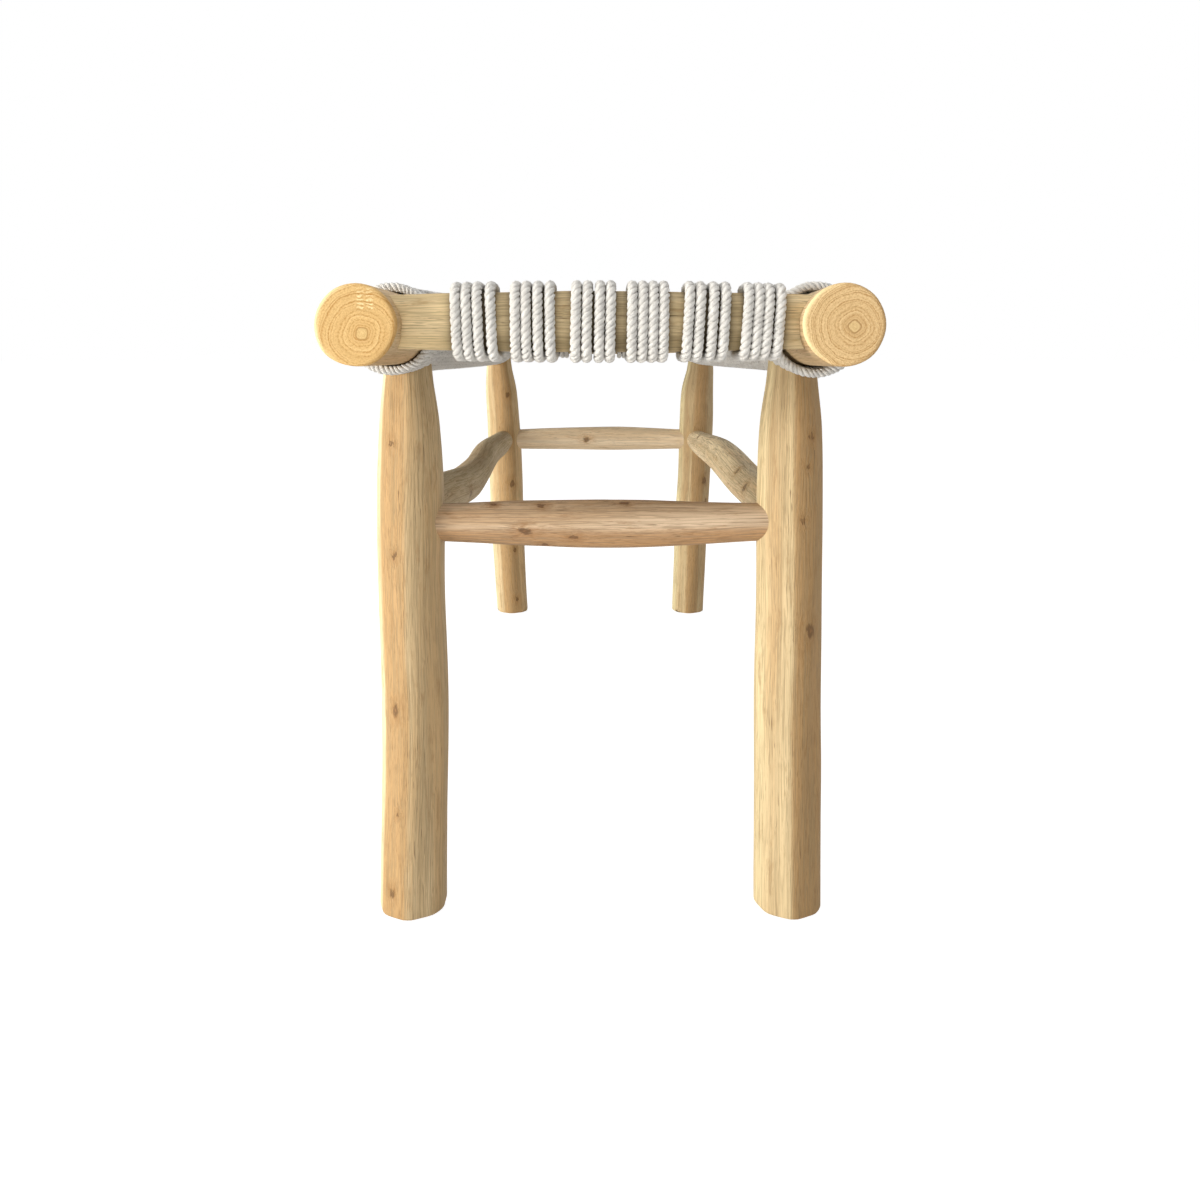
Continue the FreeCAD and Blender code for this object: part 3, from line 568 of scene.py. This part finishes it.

# %% [markdown]
# ## The legs
# Each leg leans out along the bench and in at the foot, and its top is a round neck that
# goes up into the rail. The foot is sawn level with the floor after the leg is placed, as a
# joiner would do it, with a cut of the bisect operator. Every leg has its own bows, girths
# and shade, a strip of amber and painted shade, a painted highlight on its lit edge, and
# knots listed one by one: across, across, along, how wide. The tones and shade of each leg
# are set lighter or darker to how bright it looks, so they hold the wood's tone and painted light together.

# %% Legs
LEG_LEAN, LEG_SPLAY = radians(2.07), radians(7.35)
LEG_RADIUS, LEG_TOP = 0.024, 0.342
FLOOR_TRIM, LEG_NECK, SHOULDER = 0.016, 0.012, 0.0288
LEG_PLACES = (0, 0.2, 0.4, 0.6, 0.8, 0.92, 1)
# Tones of the left and the right legs, which with each leg's shade carry painted light as well as the
# wood's own tone.
LEG_TONES = {
    -1: ((0.71, 0.55, 0.325), (0.57, 0.415, 0.225)),
    1: ((0.76, 0.59, 0.335), (0.61, 0.44, 0.235)),
}
LEGS = {
    "leg_front_left": (
        (0.03, 0.11, 0.18, 0.09, 0.09, 0.09, 0.05), (1.01, 1, 1.01, 1.02, 1.05, 0.97, 0.82), 1,
        (-0.5, -0.87, 0.0219, 0.0022, 0.86), 0.8,
        [(-0.0077, -0.0227, 0.2641, 0.0065), (-0.0105, -0.0215, 0.1547, 0.0115),
         (-0.0077, -0.0227, 0.0827, 0.0055), (-0.0122, -0.0206, 0.0299, 0.008),
         (-0.0107, -0.0214, 0.3464, 0.0075)]),
    "leg_front_right": (
        (-0.01, -0.03, -0.045, -0.03, -0.045, -0.04, -0.02), (0.99, 1, 1.03, 1.03, 1.04, 0.98, 0.82), 0.89,
        (0.616, -0.788, 0.0182, 0.0034, 0.74), 0.25,
        [(0.0113, -0.0211, 0.3518, 0.007), (0.0051, -0.0234, 0.2891, 0.0065),
         (0.0104, -0.0216, 0.2102, 0.013), (0.008, -0.0226, 0.329, 0.006)]),
    "leg_back_left": (
        (0.025, -0.02, -0.04, 0.02, 0.03, -0.01, -0.08), (0.98, 1, 1.03, 1.04, 1.01, 0.97, 0.81), 1.12,
        (0.139, -0.99, 0.0206, 0.0022, 0.72), 0.7,
        [(0.011, -0.0213, 0.3583, 0.011), (0.0101, -0.0217, 0.2227, 0.014),
         (0.0104, -0.0216, 0.1185, 0.009), (0.0102, -0.0217, 0.0412, 0.009)]),
    "leg_back_right": (
        (0.02, 0, -0.01, 0.02, -0.01, -0.04, 0.06), (0.99, 1.01, 1.04, 1.03, 1.06, 0.99, 0.82), 0.84,
        (0.1, -0.99, 0.0228, 0.0022, 0.8), 0.6,
        [(0.0128, -0.0202, 0.2284, 0.015), (0.0181, -0.0157, 0.1962, 0.009)]),
}
leg_axis = RAIL_HEIGHT / cos(LEG_LEAN) / cos(LEG_SPLAY) + FLOOR_TRIM
leg_trunk = leg_axis - SHOULDER - LEG_NECK


def saw_foot(bar):
    """Cut the foot level with the floor, close it, and ease its edge."""
    bmesh.ops.bisect_plane(bar, geom=bar.verts[:] + bar.edges[:] + bar.faces[:],
                           plane_co=(0, 0, 0), plane_no=(0, 0, 1), clear_inner=True)
    filled = bmesh.ops.holes_fill(bar, edges=[e for e in bar.edges if e.is_boundary], sides=0)
    for face in filled["faces"]:
        face.material_index = 1
    rims = list({e for face in filled["faces"] for e in face.edges})
    bmesh.ops.bevel(bar, geom=rims, offset=0.0012, segments=2, profile=0.5, affect="EDGES", material=-1)


foot_sawn = sawn_finish("sawn_foot", (0.6, 0.45, 0.24), (0.33, 0.2, 0.09))
for name, (bows, girths, shade, amber_and_shade_strip, edge, knots) in LEGS.items():
    side, end = (-1 if "left" in name else 1), (-1 if "front" in name else 1)
    stations = [(p, b, -b / 2, g) for p, b, g in zip(LEG_PLACES, bows, girths)]
    seat = Matrix.Translation((side * RAIL_SPACING / 2, end * LEG_TOP, RAIL_HEIGHT))
    seat = seat @ Matrix.Rotation(side * LEG_LEAN, 4, "Y") @ Matrix.Rotation(end * LEG_SPLAY, 4, "X")
    seat = seat @ Matrix.Translation((0, 0, -leg_axis))
    pale, warm = [toned(tone, shade) for tone in LEG_TONES[side]]
    finish = peeled_finish("peeled_" + name, pale, warm, (0.14, 0.075, 0.03), knots, amber_and_shade_strip=amber_and_shade_strip, edge=edge)
    leg = shape_log(stations, leg_trunk, LEG_RADIUS, seat, 7, 0, grow=(0, LEG_NECK + 0.012))
    saw_foot(leg)
    finish_piece(name, leg, [finish, foot_sawn])

# %% [markdown]
# ## The stretchers
# Two cross stretchers thin towards both ends, and the two side stretchers wander like the
# branches they were. Their ends run into the legs, where the meeting curve draws itself.
# The near cross stretcher is pinker than the legs. The far one is painted paler as painted
# light where the seat shades it, the right side stretcher paler as painted light on its side
# towards the lamp, and the left side stretcher darker as painted shade.

# %% Stretchers
STRETCHER_HEIGHT = 0.268
CROSS_RADIUS, SIDE_RADIUS = 0.0175, 0.016
JOINT_GAP = 0.0006
drop = RAIL_HEIGHT - STRETCHER_HEIGHT
half_width = RAIL_SPACING / 2 - drop * tan(LEG_LEAN)
half_length = LEG_TOP + drop * tan(LEG_SPLAY) / cos(LEG_LEAN)
cross_reach = half_width - LEG_RADIUS - JOINT_GAP
side_reach = half_length - LEG_RADIUS - JOINT_GAP
CROSS_STATIONS = {
    -1: [(0, 0, 0.04, 0.81), (0.3, 0, 0, 0.98), (0.6, 0.04, -0.02, 1.02), (1, 0, 0.06, 0.81)],
    1: [(0, 0, 0.03, 0.84), (0.3, 0, 0.09, 0.97), (0.6, 0.04, 0.1, 1), (1, 0, 0.03, 0.84)],
}
SIDE_STATIONS = {
    -1: [(0, 0, 0, 0.92), (0.2, 0.35, 0.3, 0.98), (0.35, 0.28, 0.3, 1.03), (0.5, 0.38, -0.1, 1.04),
         (0.64, 0.3, -0.34, 1.19), (0.76, 0.18, -0.08, 1.22), (0.88, 0.08, 0.26, 1.18), (1, 0, 0.5, 1.1)],
    1: [(0, 0, 0, 0.95), (0.2, 0.3, 0.38, 1.05), (0.45, 0.1, 0.58, 1.24), (0.7, -0.05, 0.08, 1.2),
        (0.88, 0.1, 0.12, 1.02), (1, 0, 0, 0.95)],
}
ACROSS_BENCH = Matrix.Rotation(pi / 2, 4, "Z") @ ALONG_BENCH
cross_finishes = {
    -1: peeled_finish(
        "peeled_cross_stretcher", (0.7, 0.53, 0.36), (0.54, 0.37, 0.22), (0.13, 0.07, 0.035),
        [(-0.0057, 0.0165, 0.0403, 0.008), (-0.0171, -0.0034, 0.0653, 0.0115),
         (-0.0156, -0.0078, 0.1012, 0.0085), (-0.0055, 0.0166, 0.14, 0.009),
         (-0.0099, -0.0144, 0.0795, 0.007), (-0.0076, 0.0157, 0.0768, 0.008)],
        streaks=1.3, amber_and_shade_strip=(-0.4, -0.92, 0.0075, 0.008, 0.9)),
    # Painted light: the far cross stretcher's tones are paler to make up for the shade under the seat.
    1: peeled_finish(
        "peeled_back_stretcher", (0.93, 0.76, 0.54), (0.82, 0.63, 0.41), (0.17, 0.1, 0.05),
        [(-0.0175, -0.0004, 2.1003, 0.012)], amber=0.1),
}
# Painted light and shade: the right side stretcher's tones are paler and the left one's darker, as their
# inner sides face and turn from the lamp.
side_finishes = {
    -1: peeled_finish(
        "peeled_left_stretcher", (0.55, 0.43, 0.25), (0.44, 0.32, 0.17), (0.13, 0.085, 0.04),
        [(0.0157, -0.0028, 2.5071, 0.012)]),
    1: peeled_finish(
        "peeled_right_stretcher", (0.86, 0.7, 0.45), (0.68, 0.52, 0.3), (0.16, 0.1, 0.045),
        [(-0.0145, 0.0068, 4.5675, 0.014), (-0.0104, 0.0121, 4.4926, 0.011),
         (-0.0106, 0.012, 4.1626, 0.011)], streaks=1.4, amber=0.7),
}
for end, word in ENDS.items():
    seat = Matrix.Translation((-cross_reach, end * half_length, STRETCHER_HEIGHT)) @ ACROSS_BENCH
    bar = shape_log(CROSS_STATIONS[end], 2 * cross_reach, CROSS_RADIUS, seat, 8, 0 if end < 0 else 2,
                    grow=(TENON, TENON), round_tips=0.22)
    finish_piece("stretcher_" + word, bar, [cross_finishes[end], foot_sawn])
for side, word in SIDES.items():
    stations = [(p, -side * s, r, g) for p, s, r, g in SIDE_STATIONS[side]]
    seat = Matrix.Translation((side * half_width, side_reach, STRETCHER_HEIGHT)) @ ALONG_BENCH
    bar = shape_log(stations, 2 * side_reach, SIDE_RADIUS, seat, 8, 3 + side,
                    grow=(TENON, TENON), round_tips=0.08)
    finish_piece("stretcher_" + word, bar, [side_finishes[side], foot_sawn])

# %% [markdown]
# ## The end rails
# An end rail is hewn, not peeled: eight faces, deep in the middle and thinner where it
# meets the side rails, with a wide chamfer low on its outer side. The outline is drawn
# from eight corners, drawn out by the spin operator, and its long edges are eased with a
# narrow bevel so that they catch the light. The places of the ropes along the rail are
# listed here, four to a group and as unevenly spaced as in the photograph, because shade
# is painted into the wood close to the ropes, darkest in the slits between them.

# %% End rails
ROPE_PLACES = {
    1: (-0.0916, -0.0849, -0.0779, -0.0695),
    2: (-0.0536, -0.0469, -0.0395, -0.0318),
    3: (-0.0148, -0.0078, 0.0001, 0.007),
    4: (0.0206, 0.0273, 0.0339, 0.0405),
    5: (0.057, 0.064, 0.0722, 0.0797),
    6: (0.0943, 0.1009, 0.1073, 0.1146),
}
END_RAIL_OUTLINE = [(-1, -0.4), (-0.45, -1), (0.6, -1), (1, -0.6), (1, 0.6), (0.6, 1),
                    (-0.65, 1), (-1, 0.65)]
END_SETBACK, END_RISE, END_DEPTH, END_THICKNESS = 0.034, 0.003, 0.04, 0.039
DEPTH_SHARE, THICKNESS_SHARE = 0.92, 0.85
HEW_STEPS = 150


def thinned(end_share, place):
    return 1 - (1 - end_share) * (place / (RAIL_SPACING / 2)) ** 2


def hew_rail(seed):
    """A hewn bar along Z, with its grain and painted shade beside the ropes."""
    rail = bmesh.new()
    corners = [rail.verts.new((x * END_DEPTH / 2, y * END_THICKNESS / 2, 0)) for x, y in END_RAIL_OUTLINE]
    for first, second in zip(corners, corners[1:] + corners[:1]):
        rail.edges.new((first, second))
    draw_out(rail, RAIL_SPACING / HEW_STEPS, HEW_STEPS)
    close_ends(rail)
    long_edges = [e for e in rail.edges if abs(e.verts[0].co.z - e.verts[1].co.z) > 0.001]
    bmesh.ops.bevel(rail, geom=long_edges, offset=0.0016, segments=3, profile=0.5,
                    affect="EDGES", material=-1)
    grain = rail.verts.layers.float_vector.new("grain")
    shade = rail.verts.layers.float.new("shade")
    ropes = [place for group in ROPE_PLACES.values() for place in group]
    for vert in rail.verts:
        x, y, z = vert.co
        vert[grain] = (x, y, z + seed)
        place = z - RAIL_SPACING / 2
        # Painted shade: the wood is darkened close to each rope, most in the slits between two ropes, where
        # their shadow falls.
        painted_shade = sum(exp(-max(abs(place - rope) - 0.0028, 0) / 0.0036) for rope in ropes)
        vert[shade] = min(0.62 * painted_shade, 0.93)
        hewn = 0.0004 * noise.noise(Vector((x * 60, y * 60, z * 35 + seed * 7))) / hypot(x, y)
        vert.co.x = x * (thinned(DEPTH_SHARE, place) + hewn)
        vert.co.y = y * (thinned(THICKNESS_SHARE, place) + hewn)
    return rail


hewn_finish = peeled_finish("hewn_end_rail", (0.9, 0.7, 0.4), (0.76, 0.58, 0.31), (0.13, 0.085, 0.035),
                            streaks=1.3, amber=0)
for end, word in ENDS.items():
    rail = hew_rail(0.4 + end)
    seat = Matrix.Translation((end * RAIL_SPACING / 2, end * (BENCH_LENGTH / 2 - END_SETBACK),
                               RAIL_HEIGHT + END_RISE))
    turn = Matrix.Rotation(-end * pi / 2, 4, "Z") @ ALONG_BENCH
    bmesh.ops.transform(rail, matrix=seat @ turn, verts=rail.verts)
    finish_piece("end_rail_" + word, rail, [hewn_finish], smooth=False)

# %% [markdown]
# ## Laying rope
# The rope is three strands twisted together, about six and a half millimetres thick, and
# its strands climb to the right. A rope maker turns the strands while drawing them out.
# The spin operator does the same here: a three-lobed ring is drawn along Z while it
# turns once every thirteen millimetres. That straight stock is then bent along a path, so
# each rope is a real twist and not a picture of one. A lobe is a row of angles in degrees
# and shares of the radius, and the ropes that are seen closely get the finer one.

# %% Rope stock
ROPE = 0.00345
LAY = 0.0132
FINE_LOBE = ((-60, 0.66), (-43, 0.88), (-19, 0.995), (19, 0.995), (43, 0.88))
PLAIN_LOBE = ((-60, 0.73), (-32, 0.96), (0, 1), (32, 0.96))


def turned(places, angle):
    """The first two numbers of each place, turned about Z."""
    x, y = places[:, 0], places[:, 1]
    return x * np.cos(angle) - y * np.sin(angle), x * np.sin(angle) + y * np.cos(angle)


def rope_stock(step, length, lobe):
    """Straight twisted rope: corners, faces, and the untwisted place of each corner."""
    stock = bmesh.new()
    made = bmesh.ops.create_circle(stock, segments=3 * len(lobe), radius=ROPE)
    ring = sorted(made["verts"], key=lambda v: atan2(v.co.y, v.co.x) % (2 * pi))
    for index, vert in enumerate(ring):
        turn, share = lobe[index % len(lobe)]
        angle = radians(120 * (index // len(lobe)) + turn)
        vert.co = (ROPE * share * cos(angle), ROPE * share * sin(angle), 0)
    steps = int(length / step)
    draw_out(stock, step, steps, 2 * pi * step * steps / LAY)
    bmesh.ops.recalc_face_normals(stock, faces=stock.faces)
    corners = np.array([v.co[:] for v in stock.verts])
    stock.verts.index_update()
    faces = np.array([[v.index for v in f.verts] for f in stock.faces])
    stock.free()
    lay = np.stack([*turned(corners, -2 * np.pi * corners[:, 2] / LAY), corners[:, 2]], 1)
    print("rope stock of", len(faces), "faces with", 3 * len(lobe), "corners to a ring")
    return corners, faces, lay, step


fine_rope = rope_stock(0.0014, 0.34, FINE_LOBE)
seat_rope = rope_stock(0.0022, 0.98, PLAIN_LOBE)

# %% [markdown]
# A path is a row of points. Sharp turns in it are eased, then it is measured along its
# length, and every corner of the stock is carried to the place where that length falls.
# The side of the rope that faces the reference direction is kept, so the twist is even.

# %% Bend rope along a path
PATH_STEP = 0.0005
fluff_draws = np.random.default_rng(24)


def strides(path):
    return np.linalg.norm(np.diff(path, axis=0), axis=1)


def runs_along(path):
    return np.r_[0, np.cumsum(strides(path))]


def read_at(lengths, runs, rows):
    """Rows of three numbers read at lengths between those that they are known for."""
    return np.stack([np.interp(lengths, runs, rows[:, i]) for i in range(3)], 1)


def eased(points, reach):
    """The path with even steps, its corners softened over a reach."""
    points = np.array(points, float)
    runs = runs_along(points)
    path = read_at(np.linspace(0, runs[-1], int(runs[-1] / PATH_STEP) + 1), runs, points)
    width = int(reach / PATH_STEP) | 1
    for _ in range(2):
        before = 2 * path[0] - path[width // 2:0:-1]
        after = 2 * path[-1] - path[-2:-width // 2 - 1:-1]
        total = np.cumsum(np.concatenate([np.zeros((1, 3)), before, path, after]), axis=0)
        path = (total[width:] - total[:-width]) / width
    return path


def bend_rope(stock, path, reference, start=0, stop=None, tighter=0):
    """Corners, faces and untwisted places of the part of a rope between two lengths of its path."""
    corners, faces, lay, step = stock
    runs = runs_along(path)
    length = (runs[-1] if stop is None else stop) - start
    keep = faces[corners[faces, 2].max(1) <= length + step * 0.6]
    used, index = np.unique(keep, return_inverse=True)
    local = corners[used]
    along = np.minimum(local[:, 2], length) + start
    loose = path[0] @ (991, 577, 0)
    phase = 2 * np.pi * start / LAY + 0.32 * np.sin(along * 170 + loose)
    phase = phase + 0.2 * np.sin(along * 410 + 2 * loose) + tighter * along
    x, y = turned(local, phase)
    fluffy = 1 + 0.024 * fluff_draws.standard_normal(len(local))
    centre = read_at(along, runs, path)
    way = read_at(along, runs, np.gradient(path, runs, axis=0))
    way /= np.linalg.norm(way, axis=1)[:, None]
    reference = np.array(reference, float)
    side = reference - way * (way @ reference)[:, None]
    side /= np.linalg.norm(side, axis=1)[:, None]
    bent = centre + side * (x * fluffy)[:, None] + np.cross(way, side) * (y * fluffy)[:, None]
    return bent, index.reshape(keep.shape), lay[used] + (0, 0, start)


def rope_piece(name, lengths, finish, node=None):
    """One object from many bent ropes, with their ends closed."""
    corners, faces, lays, base = [], [], [], 0
    for number, (bent, index, laid) in enumerate(lengths):
        corners.append(bent)
        faces.append(index + base)
        lays.append(laid + (0, 0, number * 1.37))
        base += len(bent)
    corners, faces, lays = np.concatenate(corners), np.concatenate(faces), np.concatenate(lays)
    mesh = bpy.data.meshes.new(name)
    mesh.from_pydata(corners.tolist(), [], faces.tolist())
    places = mesh.attributes.new("lay", "FLOAT_VECTOR", "POINT").data
    places.foreach_set("vector", lays.astype(np.float32).ravel())
    work = bmesh.new()
    work.from_mesh(mesh)
    bpy.data.meshes.remove(mesh)
    close_ends(work)
    finish_piece(name, work, [finish], node=node)


# %% [markdown]
# ## Cotton finish
# The rope is undyed cotton, a warm white, and its grooves are painted soft grey as shade.
# Fine fibres run along each strand. Their bump is drawn in the untwisted place of the rope,
# so they wind round with the strands. Cotton has no shine, only a faint sheen at grazing angles.

# %% Cotton finish
def cotton_finish(name, speckled):
    rope = Recipe(name, "lay")
    place = rope.place
    yarn = rope.noise(place, 1900, 260, 0.3, 0.7, rough=0.6)
    fluff = rope.noise(place, 700, 700, 0.3, 0.75, 3, 0.7)
    rope.ground((0.93, 0.912, 0.872))
    rope.paint(yarn, (0.81, 0.785, 0.735), 0.35)
    rope.paint(rope.noise(place, 60, 9, 0.35, 0.65, 1), (0.78, 0.75, 0.7), 0.18)
    rope.paint(fluff, (0.62, 0.59, 0.54), 0.15)
    rope.paint(rope.noise(place, 620, 620, 0.56, 0.68, rough=0.7), (0.47, 0.44, 0.4), speckled)
    # Painted shade: the grooves between the strands, nearer the rope's core, are darkened grey.
    rope.paint(rope.ramp(rope.from_axis(place), ROPE * 0.66, ROPE * 0.95, 0.38, 0), (0.4, 0.37, 0.32))
    rope.bump(rope.plus(yarn, rope.times(fluff, 0.5)), 0.8, 0.0006, invert=False)
    rope.shader.inputs["Sheen Weight"].default_value = 0.12
    return rope.done(0.95, 0.15)


cotton = cotton_finish("cotton_rope", 0.4)
seat_cotton = cotton_finish("cotton_seat_rope", 0.75)
print("cotton finish has", len(cotton.node_tree.nodes), "nodes")

# %% [markdown]
# ## Lengthwise ropes and the windings
# Twenty-four ropes run the length of the bench in six groups of four. Each comes over the
# end rail, down its front, under it and up behind, and is caught under itself. The far end
# has the same groups turned about, so the ropes lie a little aslant.

# %% Seat levels and rope places
LEANS = {1: 0.002, 2: 0.0006, 3: -0.0009, 4: -0.0008, 5: -0.0028, 6: -0.0034}
SEAT_LEVEL = 0.4331
WEAVE_END = 0.3977
PASSES = 116
PITCH = 2 * WEAVE_END / (PASSES - 1)
BLOCK = 4
BLOCKS = PASSES // BLOCK
RISE_LONG, RISE_CROSS = 0.0022, 0.0044


def sag(x, y):
    """How far the seat hangs below its level in the middle and behind each end rail."""
    hang = 0.0022 * (1 - min(abs(y) / WEAVE_END, 1) ** 2) * (1 - (x / 0.15) ** 2)
    return hang + 0.0022 * exp(-((WEAVE_END - abs(y)) / 0.025) ** 2)


def crossing(block, group):
    """1 where the crosswise ropes of a block pass over a group, and -1 where they pass under."""
    return 1 if (block + group) % 2 == 0 else -1


def long_level(group, x, y):
    """Height of a lengthwise rope in the weave."""
    place = (y + WEAVE_END) / PITCH + 0.5
    block = min(max(int(place // BLOCK), 0), BLOCKS - 1)
    inside = place - block * BLOCK
    other = block - 1 if inside < BLOCK / 2 else block + 1
    ease = 1
    if 0 <= other < BLOCKS:
        ease = sin(min(min(inside, BLOCK - inside) / 0.9, 1) * pi / 2)
    return SEAT_LEVEL - sag(x, y) - crossing(block, group) * ease * RISE_LONG


def long_place(group, number, y):
    """Place across the bench of a lengthwise rope."""
    near, far = ROPE_PLACES[group][number], -ROPE_PLACES[7 - group][3 - number]
    share = min(max((y + 0.45) / 0.9, 0), 1)
    return near + (far - near) * share


print("crosswise passes", PASSES, "at", round(PITCH * 1000, 2), "mm")

# %% Paths of the lengthwise ropes
CLEAR_OF_RAIL = 0.0002
ROPE_BEND = 0.0095
WINDING_EDGE = 0.4405


def round_end_rail(x, lean):
    """One turn round an end rail from the top: outward distance, height and shift across."""
    out = END_DEPTH / 2 * thinned(DEPTH_SHARE, x) + ROPE + CLEAR_OF_RAIL
    up = END_THICKNESS / 2 * thinned(THICKNESS_SHARE, x) + ROPE + CLEAR_OF_RAIL
    bend_out, bend_up = out - ROPE_BEND, up - ROPE_BEND
    points = [(-0.024, up - 0.0058, 0), (-0.018, up - 0.0034, 0), (-0.011, up - 0.0008, 0), (-0.005, up, 0)]
    centres = (bend_out, bend_up, 90), (bend_out, -bend_up, 0), (-bend_out, -bend_up, -90)
    for centre_out, centre_up, begin in centres:
        for step in range(7):
            angle = radians(begin - 15 * step)
            height = centre_up + ROPE_BEND * sin(angle)
            points.append((centre_out + ROPE_BEND * cos(angle), height, lean * (up - height) / (2 * up)))
    points += [(-out, up * 0.3, lean * 0.3), (-out, up - 0.009, 0)]
    return [(away, height, shift + x * max(-0.01 - away, 0) / 0.59 * max(height / up, 0))
            for away, height, shift in points]


def long_path(group, number):
    """Whole path of one lengthwise rope, from under the near end rail to under the far one."""
    ends = {}
    for end, own, strand in ((-1, group, number), (1, 7 - group, 3 - number)):
        place = ROPE_PLACES[own][strand]
        middle = end * (BENCH_LENGTH / 2 - END_SETBACK)
        ends[end] = [(-end * (place + shift), middle + end * out, RAIL_HEIGHT + END_RISE + up)
                     for out, up, shift in round_end_rail(place, LEANS[own])]
    rows = []
    for y in np.linspace(-WEAVE_END - 0.003, WEAVE_END + 0.003, 560):
        x = long_place(group, number, y)
        rows.append((x, y, long_level(group, x, y)))
    return eased(ends[-1][::-1] + rows + ends[1], 0.005)


def turn_length(path, end):
    """Length along a path at which it leaves the winding of an end."""
    on_top = path[:, 2] > RAIL_HEIGHT + END_RISE + 0.008
    inward = np.flatnonzero((abs(path[:, 1]) < WINDING_EDGE) & on_top)
    return strides(path[: inward[0 if end < 0 else -1] + 1]).sum()


# %% Windings and lengthwise ropes
long_ropes = {"left": [], "right": []}
for group in ROPE_PLACES:
    turns = {-1: [], 1: []}
    for number in range(4):
        path = long_path(group, number)
        near, far = turn_length(path, -1), turn_length(path, 1)
        turns[-1].append(bend_rope(fine_rope, path, (1, 0, 0), 0, near))
        turns[1].append(bend_rope(fine_rope, path, (1, 0, 0), far, None))
        half = "left" if group < 4 else "right"
        long_ropes[half].append(bend_rope(seat_rope, path, (1, 0, 0), near, far))
    rope_piece(f"winding_front_{group}", turns[-1], cotton)
    rope_piece(f"winding_back_{7 - group}", turns[1], cotton)
for word, lengths in long_ropes.items():
    rope_piece("seat_lengthwise_" + word, lengths, seat_cotton, "woven_seat")

# %% [markdown]
# ## Crosswise ropes and the wound side rails
# The rope crosses the seat 116 times. It passes over one group and under the next, and
# every four passes the order changes, which gives a basket weave. At each side it goes
# over the rail, round it, and up behind to be caught under itself, so the rails are
# covered from end to end. Near the rails the rope slopes down to the weave, as the
# first turn behind each golden disc does in the photograph.

# %% Paths of the crosswise ropes
def rail_centre(side, y):
    """Centre and radius of a side rail at a place along the bench."""
    share = 0.5 - y / BENCH_LENGTH
    bow, rise, radius = [spaced(RAIL_STATIONS[side], share, column) * RAIL_RADIUS for column in (1, 2, 3)]
    return side * RAIL_SPACING / 2 + bow, RAIL_HEIGHT + rise, radius


def slack(y):
    """How far a pass hangs between the rail and the first group, most behind the end rails."""
    return 0.0032 * exp(-((WEAVE_END - abs(y)) / 0.03) ** 2)


def round_side_rail(side, y, target, wobble):
    """Points from the seat over a side rail, round it and up behind, for one pass."""
    centre_x, centre_z, radius = rail_centre(side, y)
    near_end = exp(-((WEAVE_END + y) / 0.012) ** 2)
    reach = radius + ROPE + 0.0006 + wobble + (0.0016 if side > 0 else 0.0004) * near_end
    u, v = abs(centre_x) - abs(target[0]), target[1] - centre_z
    leave = atan2(v, u) + acos(reach / hypot(u, v))
    points = [(centre_x - side * reach * cos(angle), centre_z + reach * sin(angle))
              for angle in np.linspace(leave, 2 * pi, 56)]
    top_x, top_z = points[0]
    share = (reach - abs(top_x - centre_x)) / (u - abs(top_x - centre_x))
    low_z = top_z + (target[1] - top_z) * share - 0.0012 - slack(y) * sin(pi * share)
    points.append((centre_x - side * reach, low_z))
    return points


def cross_path(number):
    """Whole path of one crosswise pass, from behind the left rail to behind the right one."""
    y = -WEAVE_END + number * PITCH
    rows = []
    for group in ROPE_PLACES:
        lift = crossing(number // BLOCK, group) * RISE_CROSS
        for strand in range(4):
            x = long_place(group, strand, y)
            rows.append((x, SEAT_LEVEL - sag(x, y) + lift))
    flat = []
    for (x0, z0), (x1, z1) in zip(rows, rows[1:]):
        flat.append((x0, z0))
        if z0 != z1:
            for step in (0.2, 0.4, 0.6, 0.8):
                flat.append((x0 + (x1 - x0) * step, z0 + (z1 - z0) * (1 - cos(pi * step)) / 2))
    flat.append(rows[-1])
    turns = []
    for side, (goal_x, goal_z) in ((-1, rows[0]), (1, rows[-1])):
        wobble = 0.00018 * noise.noise(Vector((number * 1.7, side * 5, 0.3)))
        turn = round_side_rail(side, y, (goal_x, goal_z), wobble)
        start_x, start_z = turn[0]
        for share in (0.35, 0.7):
            hang = slack(y) * sin(pi * share)
            x = start_x + (goal_x - start_x) * share
            turn.insert(0, (x, start_z + (goal_z - start_z) * share - hang))
        turns.append(turn)
    line = turns[0][::-1] + flat + turns[1]
    shifts = [0.00035 * noise.noise(Vector((x * 22, number * 0.9, z * 22))) for x, z in line]
    return eased([(x, y + shift, z) for (x, z), shift in zip(line, shifts)], 0.0035)


def seam_length(path, side, y):
    """Length along a pass at which it leaves the wound rail for the seat."""
    edge = abs(rail_centre(side, y)[0]) - 0.033
    on_seat = np.flatnonzero((path[:, 2] > RAIL_HEIGHT + 0.005) & (side * path[:, 0] < edge))
    return strides(path[: on_seat[0 if side < 0 else -1] + 1]).sum()


# %% Crosswise ropes and side wraps
FINE_TURNS = 3
wraps = {(side, half): [] for side in SIDES for half in ("near", "far")}
cross_ropes = {"near": [], "far": []}
for number in range(PASSES):
    path = cross_path(number)
    y = -WEAVE_END + number * PITCH
    half = "near" if number < PASSES // 2 else "far"
    left, right = seam_length(path, -1, y), seam_length(path, 1, y)
    seen_closely = min(number, PASSES - 1 - number) < FINE_TURNS
    turn_rope, tighter = (fine_rope, 100) if seen_closely else (seat_rope, 0)
    wraps[-1, half].append(bend_rope(turn_rope, path, (0, 1, 0), 0, left, tighter))
    cross_ropes[half].append(bend_rope(seat_rope, path, (0, 1, 0), left, right, tighter))
    wraps[1, half].append(bend_rope(turn_rope, path, (0, 1, 0), right, None, tighter))
for (side, half), lengths in wraps.items():
    rope_piece(f"side_wrap_{SIDES[side]}_{half}", lengths, seat_cotton, "side_wrap_" + SIDES[side])
for half, lengths in cross_ropes.items():
    rope_piece("seat_crosswise_" + half, lengths, seat_cotton, "woven_seat")
